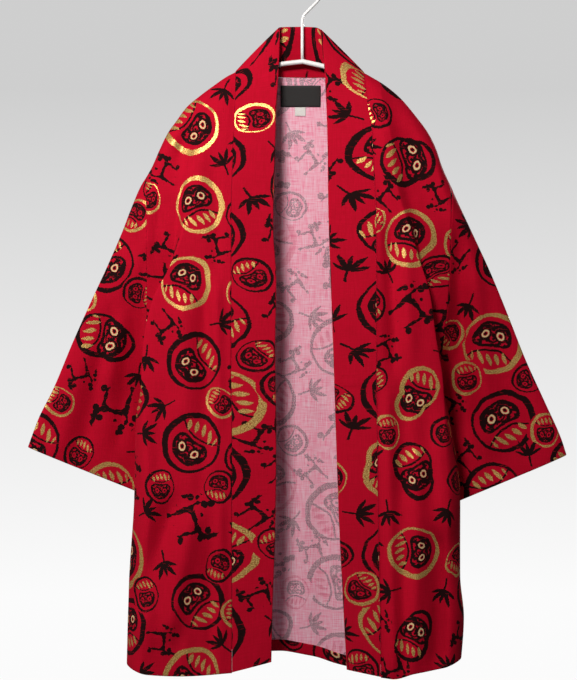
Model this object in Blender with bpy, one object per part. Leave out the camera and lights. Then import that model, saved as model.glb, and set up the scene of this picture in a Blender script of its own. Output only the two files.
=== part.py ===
"""A hanten, a short Japanese coat of printed cotton, hanging on a plain white hanger.

Every piece of cloth is a thin closed wall on a grid of points that a function works out from the
tables below. A panel's place is given by "out", the distance sideways from the middle, and "drop",
the distance below the hook's inner top, both in millimetres. "fore" is towards the front and "aft"
towards the back. The finished objects are in metres: X to the viewer's right, -Y the front, Z up.
"""
import bpy
import numpy as np

MM = 0.001
LEFT, RIGHT = -1, 1
SIDES = {LEFT: "left", RIGHT: "right"}

# Cloth and seams
CLOTH = 1.5
COLLAR_CLOTH = 2.2
SEAM_GAP = 0.3
UNDERARM_EASE = 3.0  # more room where the sleeve, front and back meet under the arm
COLLAR_EASE = 0.4  # the collar's half of the gap at its seam, as its wall is thicker
RIDGE = 38.0  # how far below the shoulder line the cloth still rounds over it
RIDGE_BLEND = 90.0  # how far below it the back's columns reach their own places
EDGE_SHARE = 0.15  # the share of a panel's width over which folds die out at its sewn edges

# Grid counts
PANEL_COLUMNS = 16
ARMHOLE_ROWS = 14
SIDE_ROWS = 12
NECK_COLUMNS = 10
SLEEVE_ROWS = 15
COLLAR_COLUMNS = 4
FAN_ROWS = 4  # extra collar rows in the first step below the neck point

# Label and tag on the inside of the back
LABEL = {"left": -29.5, "right": 24.0, "top": 150.0, "bottom": 178.0, "thick": 0.8, "cells": 6}
TAG = {"left": -10.5, "right": 4.0, "top": 178.6, "bottom": 190.0, "thick": 0.8, "cells": 2}
LABEL_GAP = 0.5

# Hanger
HOOK_WIRE = 4.0
HOOK_BEND = 25.3  # radius of the hook's centreline
ARM_ROUND = 6.4
ARM_REACH = 150.0
ARM_BELOW_CLOTH = 5.6  # from the cloth's middle to the bar's middle, on the shoulder
HANGER_TOP = 119.7  # the drop of the bar's middle under the hook
HANGER_ARCH = {LEFT: (30.0, 123.4), RIGHT: (27.0, 125.8)}  # and where it leaves the neck


def table(columns, rows):
    """The named columns of a table written one row for each section."""
    values = np.array(rows, float)
    return {name: values[:, i] for i, name in enumerate(columns.split())}


# The shoulder line, from the neck point to the top of the sleeve.
SHOULDER = {
    LEFT: table("out drop", [
        (89.0, 134.0), (100.1, 139.7), (118.4, 152.3), (135.7, 165.2), (153.6, 180.2),
        (168.9, 200.7), (179.0, 214.8), (191.8, 241.4), (199.5, 259.2), (207.5, 273.5),
    ]),
    RIGHT: table("out drop", [
        (81.0, 135.0), (90.4, 140.3), (107.0, 150.3), (129.0, 168.2), (151.4, 194.6),
        (164.9, 212.7), (176.4, 234.7), (184.7, 259.7), (196.8, 286.5),
    ]),
}

# Level sections of each front: the collar seam, the crest of the fold that falls over the sleeve,
# the valley behind it, and the outer edge, which is the armhole and then the side seam.
FRONT_PLACES = (0.0, 0.60, 0.80, 1.0)
FRONT = {
    LEFT: table("drop seam_out seam_fore crest_out crest_fore valley_out valley_fore edge_out edge_fore", [
        (134, 89, 14, 122, 15, 142, 14, 200, 13),
        (197, 90, 27, 128, 27, 146, 20, 204, 16),
        (237, 92, 34, 138, 32, 154, 22, 207, 18),
        (277, 93, 38, 146, 37, 164, 25, 207.5, 20),
        (310, 94, 40, 150, 40, 167, 27, 206.5, 25),
        (350, 94, 42, 157, 42, 169, 27, 206, 26),
        (397, 94, 43, 176, 40, 175, 22, 206, 18),
        (437, 94, 44, 197, 37, 190, 16, 207, 8),
        (490, 94, 45, 209, 36, 198, 10, 208, -2),
        (537, 94, 45, 212, 35, 211, 6, 208, -12),
        (600, 93, 45, 205, 42, 221, 12, 214, -16),
        (700, 93, 44, 200, 46, 223, 12, 216, -20),
        (813, 93, 44, 206, 46, 230, 12, 222, -20),
        (930, 93, 44, 210, 48, 233, 14, 225, -20),
    ]),
    RIGHT: table("drop seam_out seam_fore crest_out crest_fore valley_out valley_fore edge_out edge_fore", [
        (135, 81, 14, 98, 16, 118, 15, 190, 13),
        (176, 85, 23, 104, 25, 120, 19, 194, 15),
        (219, 91, 32, 114, 33, 131, 24, 196, 17),
        (273, 93, 37, 120, 38, 137, 27, 197, 20),
        (304, 95, 40, 126, 41, 142, 28, 197, 23),
        (329, 96, 41, 134, 42, 150, 28, 196, 24),
        (373, 96, 42, 148, 41, 153, 24, 195, 18),
        (429, 96, 43, 166, 39, 163, 18, 193, 10),
        (485, 96, 44, 174, 38, 168, 12, 188, 0),
        (550, 96, 44, 184, 36, 184, 6, 181, -12),
        (620, 97, 44, 186, 42, 199, 10, 192, -16),
        (700, 98, 44, 190, 44, 208, 12, 201, -20),
        (800, 100, 44, 186, 45, 208, 12, 200, -20),
        (857, 101, 44, 190, 45, 213, 12, 205, -20),
        (930, 102, 44, 186, 46, 208, 12, 200, -20),
    ]),
}
UNDERARM = {LEFT: 537.0, RIGHT: 550.0}

# Level sections of each half of the back, from below the neck point out to the same edge.
BACK_PLACES = (0.0, 0.45, 0.82, 1.0)
BACK = {
    LEFT: table("drop neck_out neck_aft blade_out blade_aft side_out side_aft edge_out edge_aft", [
        (134, 89, 14, 126, 16, 164, 16, 200, 14),
        (200, 89, 22, 135, 25, 174, 23, 206, 19),
        (277, 90, 27, 138, 30, 180, 28, 207.5, 23),
        (350, 90, 30, 140, 34, 182, 33, 206, 27),
        (437, 91, 32, 140, 36, 184, 35, 207, 27),
        (490, 91, 33, 140, 36, 188, 36, 208, 23),
        (537, 91, 33, 142, 36, 192, 36, 208, 12),
        (600, 92, 34, 146, 37, 195, 36, 214, 16),
        (700, 92, 35, 148, 38, 195, 38, 216, 20),
        (930, 93, 36, 152, 39, 202, 39, 225, 20),
    ]),
    RIGHT: table("drop neck_out neck_aft blade_out blade_aft side_out side_aft edge_out edge_aft", [
        (135, 81, 14, 118, 16, 156, 16, 190, 14),
        (200, 83, 22, 126, 25, 166, 23, 195, 19),
        (287, 85, 27, 128, 30, 170, 28, 197, 23),
        (373, 87, 31, 130, 34, 170, 34, 195, 27),
        (450, 88, 33, 130, 36, 168, 36, 192, 26),
        (500, 88, 33, 130, 36, 166, 36, 187, 22),
        (550, 88, 34, 128, 37, 162, 36, 181, 12),
        (620, 89, 34, 130, 37, 172, 37, 192, 16),
        (700, 90, 35, 134, 38, 180, 38, 201, 20),
        (930, 92, 36, 138, 39, 178, 39, 200, 20),
    ]),
}
BACK_NECK_AFT = 14.0  # how far the middle of the back neck lies behind the neck points
BACK_NECK_DROP = 5.0  # and below them

# Hems: the drop of the edge along a panel, in shares of its width.
FRONT_HEM = {
    LEFT: table("share drop", [(0, 925), (0.3, 929), (0.55, 927), (0.8, 917), (1, 912)]),
    RIGHT: table("share drop", [(0, 931), (0.12, 933), (0.3, 926), (0.6, 918), (0.8, 910), (1, 908)]),
}
BACK_HEM = table("x drop", [
    (-225, 912), (-120, 906), (-39, 907), (7, 914), (38, 924), (58, 928), (120, 925), (200, 908),
])

# The sleeve's upper fold, which is the outline, and its lower fold, which hangs behind the back.
SLEEVE_TOP = {
    LEFT: table("along out drop aft", [
        (0.0, 207.5, 273.5, 0), (0.035, 214.7, 284.8, 1), (0.133, 230.1, 320.4, 3),
        (0.204, 240.2, 346.5, 4), (0.334, 260.7, 393.0, 7), (0.455, 280.9, 436.2, 9),
        (0.611, 306.3, 492.2, 12), (0.793, 334.2, 557.9, 15), (0.895, 352.5, 593.8, 17),
        (1.0, 367.1, 632.4, 18),
    ]),
    RIGHT: table("along out drop aft", [
        (0.0, 196.8, 286.5, 0), (0.026, 200.8, 295.9, 1), (0.162, 223.4, 343.8, 4),
        (0.332, 251.4, 403.7, 7), (0.479, 273.4, 456.5, 10), (0.648, 297.9, 517.5, 13),
        (0.804, 323.2, 572.6, 15), (0.943, 345.5, 621.8, 17), (1.0, 352.5, 643.0, 18),
    ]),
}
SLEEVE_LOW = {
    LEFT: table("along out drop aft", [
        (0.0, 208, 537, 12), (0.12, 222, 562, 38), (0.3, 212, 602, 58),
        (0.6, 172, 663, 68), (1.0, 118, 737, 70),
    ]),
    RIGHT: table("along out drop aft", [
        (0.0, 181, 550, 12), (0.12, 198, 576, 38), (0.3, 190, 616, 58),
        (0.6, 154, 677, 68), (1.0, 105, 752, 70),
    ]),
}
SLEEVE_HALF = table("along half", [(0.0, 14), (0.3, 13), (0.7, 12), (1.0, 13)])
ARMHOLE_BLEND = 0.4  # the share of the sleeve over which its ring turns from the armhole's shape

# The collar band's free edge, from the front corner of the neck down to the hem.
COLLAR_EDGE = {
    LEFT: table("drop out fore", [
        (74, 29.5, 1), (82, 29.6, 6), (120, 31, 13), (187, 34.6, 26), (273, 37.2, 36), (343, 38.6, 40),
        (414, 34.6, 41), (498, 35.9, 42), (623, 34.6, 42), (735, 35.9, 42), (847, 39.9, 41),
        (912, 41.2, 40),
    ]),
    RIGHT: table("drop out fore", [
        (77, 22.6, 1), (85, 23.2, 6), (122, 27.3, 13), (148, 29.3, 19), (232, 31.9, 33), (315, 32.7, 38),
        (414, 35.9, 41), (498, 39.1, 42), (625, 43.2, 42), (735, 47.3, 42), (819, 51.6, 41),
        (922, 57.2, 40),
    ]),
}
COLLAR_FAN = 13.0  # how fast the band's rows level out below the neck point
COLLAR_HEM_LIFT = {LEFT: 13.0, RIGHT: 9.0}
# Across the back of the neck: where the standing band's top edge is over each place of its seam.
COLLAR_BACK = table("seam_x edge_x edge_drop edge_aft", [
    (-89, -29.5, 74, -1), (-62, -28.5, 72.5, 5), (-34, -25, 72, 8), (-4, -3, 71.5, 9),
    (26, 17, 72.5, 8), (55, 21.5, 74.5, 5), (81, 22.6, 77, -1),
])

# The largest folds: a soft ridge (or, with a negative lift, a trough) along a line on the cloth.
FOLD_COLUMNS = "top_out top_drop low_out low_drop width lift"
FOLDS = {
    ("front", LEFT): table(FOLD_COLUMNS, [
        (108, 146, 134, 195, 10, -3.0),
        (190, 290, 203, 380, 11, -4.0),
        (116, 410, 108, 590, 15, 5.0),
        (166, 680, 221, 850, 22, -4.5),
        (138, 690, 176, 880, 22, 4.5),
        (108, 690, 104, 900, 14, 3.5),
    ]),
    ("front", RIGHT): table(FOLD_COLUMNS, [
        (112, 330, 118, 520, 12, -3.5),
        (104, 560, 118, 925, 15, 5.0),
        (184, 730, 178, 925, 22, -7.0),
        (150, 640, 146, 925, 16, 4.0),
    ]),
    ("sleeve", LEFT): table(FOLD_COLUMNS, [
        (226, 350, 262, 560, 16, 5.0),
        (246, 420, 300, 640, 14, -4.0),
        (285, 470, 330, 650, 18, 3.5),
    ]),
    ("sleeve", RIGHT): table(FOLD_COLUMNS, [
        (200, 330, 222, 620, 13, -6.0),
        (222, 380, 252, 640, 16, 6.0),
        (262, 450, 300, 650, 18, -3.5),
    ]),
    ("sleeve back", LEFT): table(FOLD_COLUMNS, [
        (232, 360, 200, 650, 18, 6.0),
        (262, 430, 262, 660, 16, -5.0),
    ]),
    ("sleeve back", RIGHT): table(FOLD_COLUMNS, [
        (220, 370, 190, 660, 18, 6.0),
        (250, 440, 250, 670, 16, -5.0),
    ]),
    ("back", LEFT): table(FOLD_COLUMNS, [
        (150, 230, 120, 420, 20, 4.0),
        (110, 480, 96, 930, 22, 6.0),
        (170, 560, 160, 930, 20, 6.0),
        (60, 520, 50, 930, 20, -4.0),
    ]),
    ("back", RIGHT): table(FOLD_COLUMNS, [
        (145, 240, 118, 430, 20, 4.0),
        (108, 500, 112, 930, 22, 6.0),
        (158, 620, 158, 930, 18, 5.0),
        (55, 560, 64, 930, 18, -4.0),
    ]),
}
FOLD_FADE = 45.0  # the length over which a fold grows and dies


def smooth(at, knots, values):
    """A curve through the knots that never overshoots: cubic pieces with limited slopes."""
    at = np.clip(at, knots[0], knots[-1])
    step = np.diff(knots)
    slope = np.diff(values) / step
    inner = np.where(slope[1:] * slope[:-1] > 0,
                     2 * slope[1:] * slope[:-1] / (slope[1:] + slope[:-1] + 1e-12), 0.0)
    tangent = np.concatenate([[slope[0]], inner, [slope[-1]]])
    i = np.clip(np.searchsorted(knots, at, side="right") - 1, 0, len(step) - 1)
    t = (at - knots[i]) / step[i]
    start = (1 + 2 * t) * (1 - t) ** 2 * values[i] + t * (1 - t) ** 2 * step[i] * tangent[i]
    end = t * t * (3 - 2 * t) * values[i + 1] - t * t * (1 - t) * step[i] * tangent[i + 1]
    return start + end


def read(tab, key, column, at):
    return smooth(np.asarray(at, float), tab[key], tab[column])


def ease(share):
    share = np.clip(share, 0, 1)
    return share * share * (3 - 2 * share)


def rounded(below):
    """How far round the shoulder ridge the cloth is, from 0 on the ridge to 1 below it."""
    return np.sqrt(1 - (1 - np.clip(below / RIDGE, 0, 1)) ** 2)


def fold_lift(panel, side, out, drop):
    """The height that a panel's folds add at a place, as soft ridges along their lines."""
    lift = np.zeros(np.broadcast(out, drop).shape)
    tab = FOLDS[panel, side]
    for top_out, top_drop, low_out, low_drop, width, height in zip(*tab.values()):
        share = (drop - top_drop) / (low_drop - top_drop)
        aside = (out - top_out - (low_out - top_out) * share) / width
        ends = ease((drop - top_drop) / FOLD_FADE) * ease(0.4 + (low_drop - drop) / FOLD_FADE)
        lift = lift + height * ends * np.exp(-aside * aside)
    return lift


def section(tab, places, names, drop, share, kind):
    """One coordinate across a level section, through its named places."""
    knots = np.array(places)
    share, drop = np.broadcast_arrays(np.asarray(share, float), np.asarray(drop, float))
    stops = [read(tab, "drop", f"{name}_{kind}", drop) for name in names]
    flat = np.array([
        smooth(s, knots, np.array(values))
        for s, values in zip(share.ravel(), np.stack([stop.ravel() for stop in stops], axis=1))
    ])
    return flat.reshape(share.shape)


FRONT_NAMES = ("seam", "crest", "valley", "edge")
BACK_NAMES = ("neck", "blade", "side", "edge")


def front_out(side, share, drop):
    return section(FRONT[side], FRONT_PLACES, FRONT_NAMES, drop, share, "out")


def shoulder_point(side, share):
    """(out, drop) where a front's column meets the shoulder line."""
    share = np.asarray(share, float)
    drop = np.full(share.shape, 200.0)
    for _ in range(40):
        out = front_out(side, share, drop)
        drop = read(SHOULDER[side], "out", "drop", out)
    return out, drop


def row_drop(top, underarm, hem, row):
    """The drop of a row: 0 is the panel's top, 1 the underarm's level, 2 the hem."""
    return np.where(row <= 1, top + (underarm - top) * np.clip(row, 0, 1),
                    underarm + (hem - underarm) * np.clip(row - 1, 0, 1))


def panel_rows():
    armhole = (1 - np.cos(np.pi * np.arange(ARMHOLE_ROWS) / ARMHOLE_ROWS)) / 2
    return np.concatenate([armhole, np.linspace(1, 2, SIDE_ROWS + 1)])


def point(x, fore, drop):
    return np.stack(np.broadcast_arrays(x, -fore, -drop), axis=-1)


def front_grid(side, shares, rows):
    """A front panel: rows down from the shoulder, columns out from the collar seam."""
    share, row = np.meshgrid(shares, rows)
    top = np.broadcast_to(shoulder_point(side, shares)[1], share.shape)
    hem = read(FRONT_HEM[side], "share", "drop", share)
    drop = row_drop(top, UNDERARM[side], hem, row)
    out = front_out(side, share, drop)
    fore = section(FRONT[side], FRONT_PLACES, FRONT_NAMES, drop, share, "fore")
    inner = ease(share / EDGE_SHARE) * ease((1 - share) / EDGE_SHARE)
    fore = fore + fold_lift("front", side, out, drop) * inner
    return point(side * out, fore * rounded(drop - top), drop)


def back_columns(shares, neck):
    """(side, share) of each column: the left edge, the neck's part, and the right edge."""
    left = [(LEFT, share) for share in shares[::-1]]
    middle = [(0, share) for share in neck[1:-1]]
    return left + middle + [(RIGHT, share) for share in shares]


def back_hem(x):
    return read(BACK_HEM, "x", "drop", x)


def back_side_column(side, share, rows):
    """One column of the back below a shoulder, from the same shoulder point as the front's."""
    top_out, top = shoulder_point(side, share)
    hem = back_hem(side * read(BACK[side], "drop", "neck_out", 930) * (1 - share)
                   + side * read(BACK[side], "drop", "edge_out", 930) * share)
    drop = row_drop(top, UNDERARM[side], hem, rows)
    below = drop - top
    level = (BACK[side], BACK_PLACES, BACK_NAMES, drop, share)
    out = top_out + (section(*level, "out") - top_out) * ease(below / RIDGE_BLEND)
    aft = section(*level, "aft")
    aft = aft + fold_lift("back", side, out, drop) * ease((1 - share) / EDGE_SHARE)
    return point(side * out, -aft * rounded(below), drop)


def neck_seam(share):
    """The back neck's seam, from the left neck point (0) to the right one (1)."""
    x_left, drop_left = shoulder_point(LEFT, np.array(0.0))
    x_right, drop_right = shoulder_point(RIGHT, np.array(0.0))
    dip = 1 - np.abs(2 * share - 1) ** 2.6
    x = -x_left + (x_left + x_right) * share
    drop = drop_left + (drop_right - drop_left) * share + BACK_NECK_DROP * dip
    return x, BACK_NECK_AFT * dip ** 0.6, drop


def back_neck_column(share, rows):
    """One column of the back below the neck, hanging from the collar's seam."""
    x_top, aft_top, top = neck_seam(share)
    underarm = UNDERARM[LEFT] + (UNDERARM[RIGHT] - UNDERARM[LEFT]) * share
    drop = row_drop(top, underarm, back_hem(x_top), rows)
    ends = [read(BACK[side], "drop", "neck_out", drop) for side in (LEFT, RIGHT)]
    x = -ends[0] + (ends[0] + ends[1]) * share
    afts = [read(BACK[side], "drop", "neck_aft", drop) for side in (LEFT, RIGHT)]
    aft = afts[0] + (afts[1] - afts[0]) * share
    aft = aft + fold_lift("back", LEFT, -x, drop) + fold_lift("back", RIGHT, x, drop)
    below = drop - top
    return point(x_top + (x - x_top) * ease(below / RIDGE_BLEND),
                 -(aft_top + (aft - aft_top) * rounded(below)), drop)


def back_grid(shares, neck, rows, side_seams):
    """The back: its columns, drawn to the fronts' side seams below the underarms."""
    places = back_columns(shares, neck)
    grid = np.stack([
        back_side_column(side, share, rows) if side else back_neck_column(share, rows)
        for side, share in places
    ], axis=1)
    for side, edge in ((LEFT, 0), (RIGHT, -1)):
        gap = side_seams[side][ARMHOLE_ROWS:] - grid[ARMHOLE_ROWS:, edge]
        near = [ease((share - 0.6) / 0.4) * (side == own) for own, share in places]
        grid[ARMHOLE_ROWS:] += gap[:, None] * np.array(near)[None, :, None]
    return grid


def sleeve_oval(side, along, across, layer):
    """The flat tube without its armhole: across runs from the upper fold to the lower one."""
    top = [read(SLEEVE_TOP[side], "along", name, along) for name in ("out", "drop", "aft")]
    low = [read(SLEEVE_LOW[side], "along", name, along) for name in ("out", "drop", "aft")]
    out, drop, aft = (t + (l - t) * across for t, l in zip(top, low))
    half = read(SLEEVE_HALF, "along", "half", along)
    swell = np.sqrt(np.clip(1 - np.abs(2 * across - 1) ** 3.0, 0, 1))
    folds = np.where(layer > 0, fold_lift("sleeve", side, out, drop),
                     fold_lift("sleeve back", side, out, drop)) * swell
    return point(side * out, -aft + layer * (half + folds) * swell, drop)


def sleeve_grid(side, armhole, along):
    """A sleeve: each ring goes down the front layer and up the back one, from armhole to cuff."""
    count = len(armhole)
    half = count // 2
    across = (1 - np.cos(np.pi * np.arange(half + 1) / half)) / 2
    across = np.concatenate([across, across[-2:0:-1]])
    layer = np.where(np.arange(count) <= half, 1, -1)
    start = sleeve_oval(side, np.zeros(count), across, layer)
    rings = []
    for place in along:
        ring = sleeve_oval(side, np.full(count, place), across, layer)
        rings.append(ring + (armhole - start) * (1 - ease(place / ARMHOLE_BLEND)))
    return np.array(rings)


def collar_front(side, seam):
    """(seam points, edge points) of the band's rows up one front, hem first."""
    drop = -seam[:, 2]
    top = drop.min()
    corner = COLLAR_EDGE[side]["drop"][0]
    edge = drop - (top - corner) * np.exp(-(drop - top) / COLLAR_FAN)
    edge = edge - COLLAR_HEM_LIFT[side] * ease((drop - 700) / 230)
    out = read(COLLAR_EDGE[side], "drop", "out", edge)
    fore = read(COLLAR_EDGE[side], "drop", "fore", edge)
    return point(side * out, fore, edge)


def collar_grid(left_seam, neck, right_seam):
    """The band's rows from the left hem round the neck to the right hem."""
    x = neck[1:-1, 0]
    back_edge = point(read(COLLAR_BACK, "seam_x", "edge_x", x),
                      -read(COLLAR_BACK, "seam_x", "edge_aft", x),
                      read(COLLAR_BACK, "seam_x", "edge_drop", x))
    seam = np.concatenate([left_seam[::-1], neck[1:-1], right_seam])
    edge = np.concatenate([collar_front(LEFT, left_seam)[::-1], back_edge,
                           collar_front(RIGHT, right_seam)])
    share = np.linspace(0, 1, COLLAR_COLUMNS + 1)[None, :, None]
    return seam[:, None] * (1 - share) + edge[:, None] * share


def finer_top(seam):
    """A seam with extra points along its first step, for the collar's fan of rows."""
    share = np.linspace(0, 1, FAN_ROWS + 1)[:, None]
    first = seam[0] + (seam[1] - seam[0]) * share
    second = seam[1] + (seam[2] - seam[1]) * share
    return np.concatenate([first[:-1], second[:-1], seam[2:]])


def patch_grid(patch, lift):
    """A flat piece sewn on the inside of the back, made from the back's points, moved inwards."""
    drops = np.linspace(patch["top"], patch["bottom"], patch["cells"] + 1)
    xs = np.linspace(patch["left"], patch["right"], 2 * patch["cells"] + 1)
    rows = panel_rows()
    grid = []
    for x in xs:
        left, right = shoulder_point(LEFT, np.array(0.0))[0], shoulder_point(RIGHT, np.array(0.0))[0]
        column = back_neck_column((x + left) / (left + right), rows)
        y = np.interp(drops, -column[:, 2], column[:, 1])
        grid.append(np.stack([np.full_like(drops, x), y - lift, -drops], axis=1))
    return np.stack(grid, axis=1)


def unit(vectors):
    return vectors / np.maximum(np.linalg.norm(vectors, axis=-1, keepdims=True), 1e-9)


def grid_normals(grid, ring=False):
    """Outward normals of a grid whose rows and columns run so that rows x columns points out."""
    if ring:
        across = np.roll(grid, -1, axis=1) - np.roll(grid, 1, axis=1)
    else:
        across = np.gradient(grid, axis=1)
    return unit(np.cross(np.gradient(grid, axis=0), across))


def join_normals(grids, normals):
    """Pieces share one normal at each point of a seam, so that their walls meet face to face."""
    points = np.concatenate([grid.reshape(-1, 3) for grid in grids.values()])
    vectors = np.concatenate([normals[name].reshape(-1, 3) for name in grids])
    _, index = np.unique(np.round(points, 3), axis=0, return_inverse=True)
    index = index.reshape(-1)
    total = np.zeros((index.max() + 1, 3))
    np.add.at(total, index, vectors)
    vectors = unit(total)[index]
    start = 0
    for name, grid in grids.items():
        size = grid.shape[0] * grid.shape[1]
        normals[name] = vectors[start:start + size].reshape(grid.shape)
        start += size


def pull_edge(grid, normals, row, inward, reach=SEAM_GAP / 2):
    """Moves one edge of a grid half a seam gap into its piece, along the cloth and off the seam."""
    seam = unit(np.gradient(grid[row], axis=0))
    way = unit(np.cross(seam, normals[row]))
    side = np.sign(np.sum(way * (grid[inward] - grid[row]), axis=-1, keepdims=True))
    grid[row] += way * side * reach


def wall(name, grid, normals, thick, ring, material):
    """A closed wall of cloth round a grid of points, as one object."""
    rows, columns = grid.shape[:2]
    outer = (grid + normals * thick / 2).reshape(-1, 3)
    inner = (grid - normals * thick / 2).reshape(-1, 3)
    number = np.arange(rows * columns).reshape(rows, columns)
    wide = np.concatenate([number, number[:, :1]], axis=1) if ring else number
    a, b = wide[:-1, :-1].ravel(), wide[:-1, 1:].ravel()
    c, d = wide[1:, 1:].ravel(), wide[1:, :-1].ravel()
    under = rows * columns
    faces = [np.stack([a, d, c, b], axis=1), np.stack([a, b, c, d], axis=1) + under]
    rims = [wide[0], wide[-1, ::-1]]
    if not ring:
        rims += [wide[::-1, 0], wide[:, -1]]
    for rim in rims:
        faces.append(np.stack([rim[:-1], rim[1:], rim[1:] + under, rim[:-1] + under], axis=1))
    mesh = bpy.data.meshes.new(name)
    points = np.concatenate([outer, inner]) * MM
    mesh.from_pydata(points.tolist(), [], np.concatenate(faces).tolist())
    mesh.shade_smooth()
    mesh.set_sharp_from_angle(angle=np.radians(50))
    return place(bpy.data.objects.new(name, mesh), material)


def place(obj, material):
    collection.objects.link(obj)
    obj.data.materials.append(material)
    return obj


def paint(name, colour, roughness, metallic=0.0):
    """A plain Principled material."""
    material = bpy.data.materials.new(name)
    material.use_nodes = True
    shader = material.node_tree.nodes["Principled BSDF"]
    shader.inputs["Base Color"].default_value = (*colour, 1)
    shader.inputs["Roughness"].default_value = roughness
    shader.inputs["Metallic"].default_value = metallic
    material.diffuse_color = (*colour, 1)
    return material


def round_bar(name, points, thick, material):
    """A round bar or wire through points, as a curve with filled caps."""
    curve = bpy.data.curves.new(name, "CURVE")
    curve.dimensions = "3D"
    curve.bevel_depth = thick / 2 * MM
    curve.bevel_resolution = 2
    curve.use_fill_caps = True
    spline = curve.splines.new("POLY")
    spline.points.add(len(points) - 1)
    for knot, (x, y, z) in zip(spline.points, points):
        knot.co = (x * MM, y * MM, z * MM, 1)
    return place(bpy.data.objects.new(name, curve), material)


def build_cloth(red, black, white):
    rows = panel_rows()
    shares = np.linspace(0, 1, PANEL_COLUMNS + 1)
    neck = np.linspace(0, 1, NECK_COLUMNS + 1)
    along = np.linspace(0, 1, SLEEVE_ROWS + 1)
    left, right = (front_grid(side, shares, rows) for side in (LEFT, RIGHT))
    back = back_grid(shares, neck, rows, {LEFT: left[:, -1], RIGHT: right[:, -1]})
    neck_points = np.concatenate([left[:1, 0], back[0, PANEL_COLUMNS + 1:-PANEL_COLUMNS - 1],
                                  right[:1, 0]])
    grids = {
        "front_left": left[:, ::-1],
        "front_right": right,
        "back": back[:, ::-1],
        "collar": collar_grid(finer_top(left[:, 0]), neck_points, finer_top(right[:, 0]))[::-1],
    }
    for side, front, column in ((LEFT, left, 0), (RIGHT, right, -1)):
        down = front[:ARMHOLE_ROWS + 1, -1]
        up = back[ARMHOLE_ROWS - 1:0:-1, column]
        ring = np.concatenate([down, up])
        grids[f"sleeve_{SIDES[side]}"] = sleeve_grid(side, ring, along)
    # The right sleeve's rings turn the other way, so that its faces also point out.
    grids["sleeve_right"] = grids["sleeve_right"][:, ::-1]
    normals = {name: grid_normals(grid, "sleeve" in name) for name, grid in grids.items()}
    join_normals(grids, normals)
    pull_seams(grids, normals)
    for name, grid in grids.items():
        thick = COLLAR_CLOTH if name == "collar" else CLOTH
        wall(name, grid, normals[name], thick, "sleeve" in name, red)
    for name, patch, material in (("neck_label", LABEL, black), ("size_tag", TAG, white)):
        lift = CLOTH / 2 + LABEL_GAP + patch["thick"] / 2
        grid = patch_grid(patch, lift)
        facing = np.broadcast_to(np.array([0.0, -1.0, 0.0]), grid.shape)
        wall(name, grid, facing, patch["thick"], False, material)


def seam_reach(points, ease_there):
    """How far each point of an edge moves: half a gap, and more at the underarm's point."""
    from_underarm = np.arange(points) - ARMHOLE_ROWS
    return SEAM_GAP / 2 + ease_there * np.exp(-from_underarm ** 2.0)[:, None]


def pull_seams(grids, normals):
    """Every sewn edge moves half a seam gap into its own piece."""
    panel_reach = seam_reach(ARMHOLE_ROWS + SIDE_ROWS + 1, UNDERARM_EASE / 2)
    for name in ("front_left", "front_right", "back"):
        grid, normal = grids[name], normals[name]
        pull_edge(grid, normal, (0,), (1,))
        for column, inward in ((0, 1), (-1, -2)):
            pull_edge(grid, normal, (slice(None), column), (slice(None), inward), panel_reach)
    reach = seam_reach(2 * ARMHOLE_ROWS, UNDERARM_EASE)
    pull_edge(grids["sleeve_left"], normals["sleeve_left"], (0,), (1,), reach)
    pull_edge(grids["sleeve_right"], normals["sleeve_right"], (0,), (1,), np.roll(reach[::-1], 1))
    pull_edge(grids["collar"], normals["collar"], (slice(None), 0), (slice(None), 1), COLLAR_EASE)


def hanger_middle(x):
    """The drop of the bar's middle: an arch in the neck, then just under the shoulder cloth."""
    side = LEFT if x < 0 else RIGHT
    start = SHOULDER[side]["out"][0] + 12
    out = max(abs(x), start)
    before, after = read(SHOULDER[side], "out", "drop", np.array([out - 3, out + 3]))
    under_cloth = (before + after) / 2 + ARM_BELOW_CLOTH * np.hypot(1, (after - before) / 6)
    knots = np.array([0.0, HANGER_ARCH[side][0], start])
    drops = np.array([HANGER_TOP, HANGER_ARCH[side][1], under_cloth])
    return float(under_cloth if abs(x) >= start else smooth(np.array(abs(x)), knots, drops))


def build_hanger(white):
    reach = np.linspace(-ARM_REACH, ARM_REACH, 37)
    bar = [(x, 0.0, -hanger_middle(x)) for x in reach]
    round_bar("hanger_arms", bar, ARM_ROUND, white)
    centre = -HOOK_BEND + HOOK_WIRE / 2
    turns = np.radians(np.linspace(-45, 200, 26))
    arc = [(HOOK_BEND * np.cos(a), 0.0, centre + HOOK_BEND * np.sin(a)) for a in turns]
    foot = -hanger_middle(0.0) + ARM_ROUND / 2 + SEAM_GAP
    stem = [(-0.7, 0.0, foot), (-0.7, 0.0, -66.0), (0.4, 0.0, -60.5), (3.0, 0.0, -56.2)]
    round_bar("hanger_hook", stem + arc, HOOK_WIRE, white)


for old in list(bpy.data.objects):
    bpy.data.objects.remove(old, do_unlink=True)
collection = bpy.data.collections.new("hanten")
bpy.context.scene.collection.children.link(collection)

build_cloth(
    paint("red printed cotton", (0.60, 0.0, 0.028), 0.85),
    paint("black woven label", (0.012, 0.010, 0.010), 0.8),
    paint("white woven tag", (0.75, 0.75, 0.74), 0.8),
)
build_hanger(paint("white plastic", (0.80, 0.80, 0.80), 0.35))
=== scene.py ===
# %% [markdown]
# A hanten is a short loose coat of printed cotton. This one hangs on a slim white hanger. The
# lesson builds each piece of cloth as a surface that two numbers sweep out, gives it a wall, and
# prints it with a pattern worked out from the flat cloth. First the fixed frame is loaded.

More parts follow.
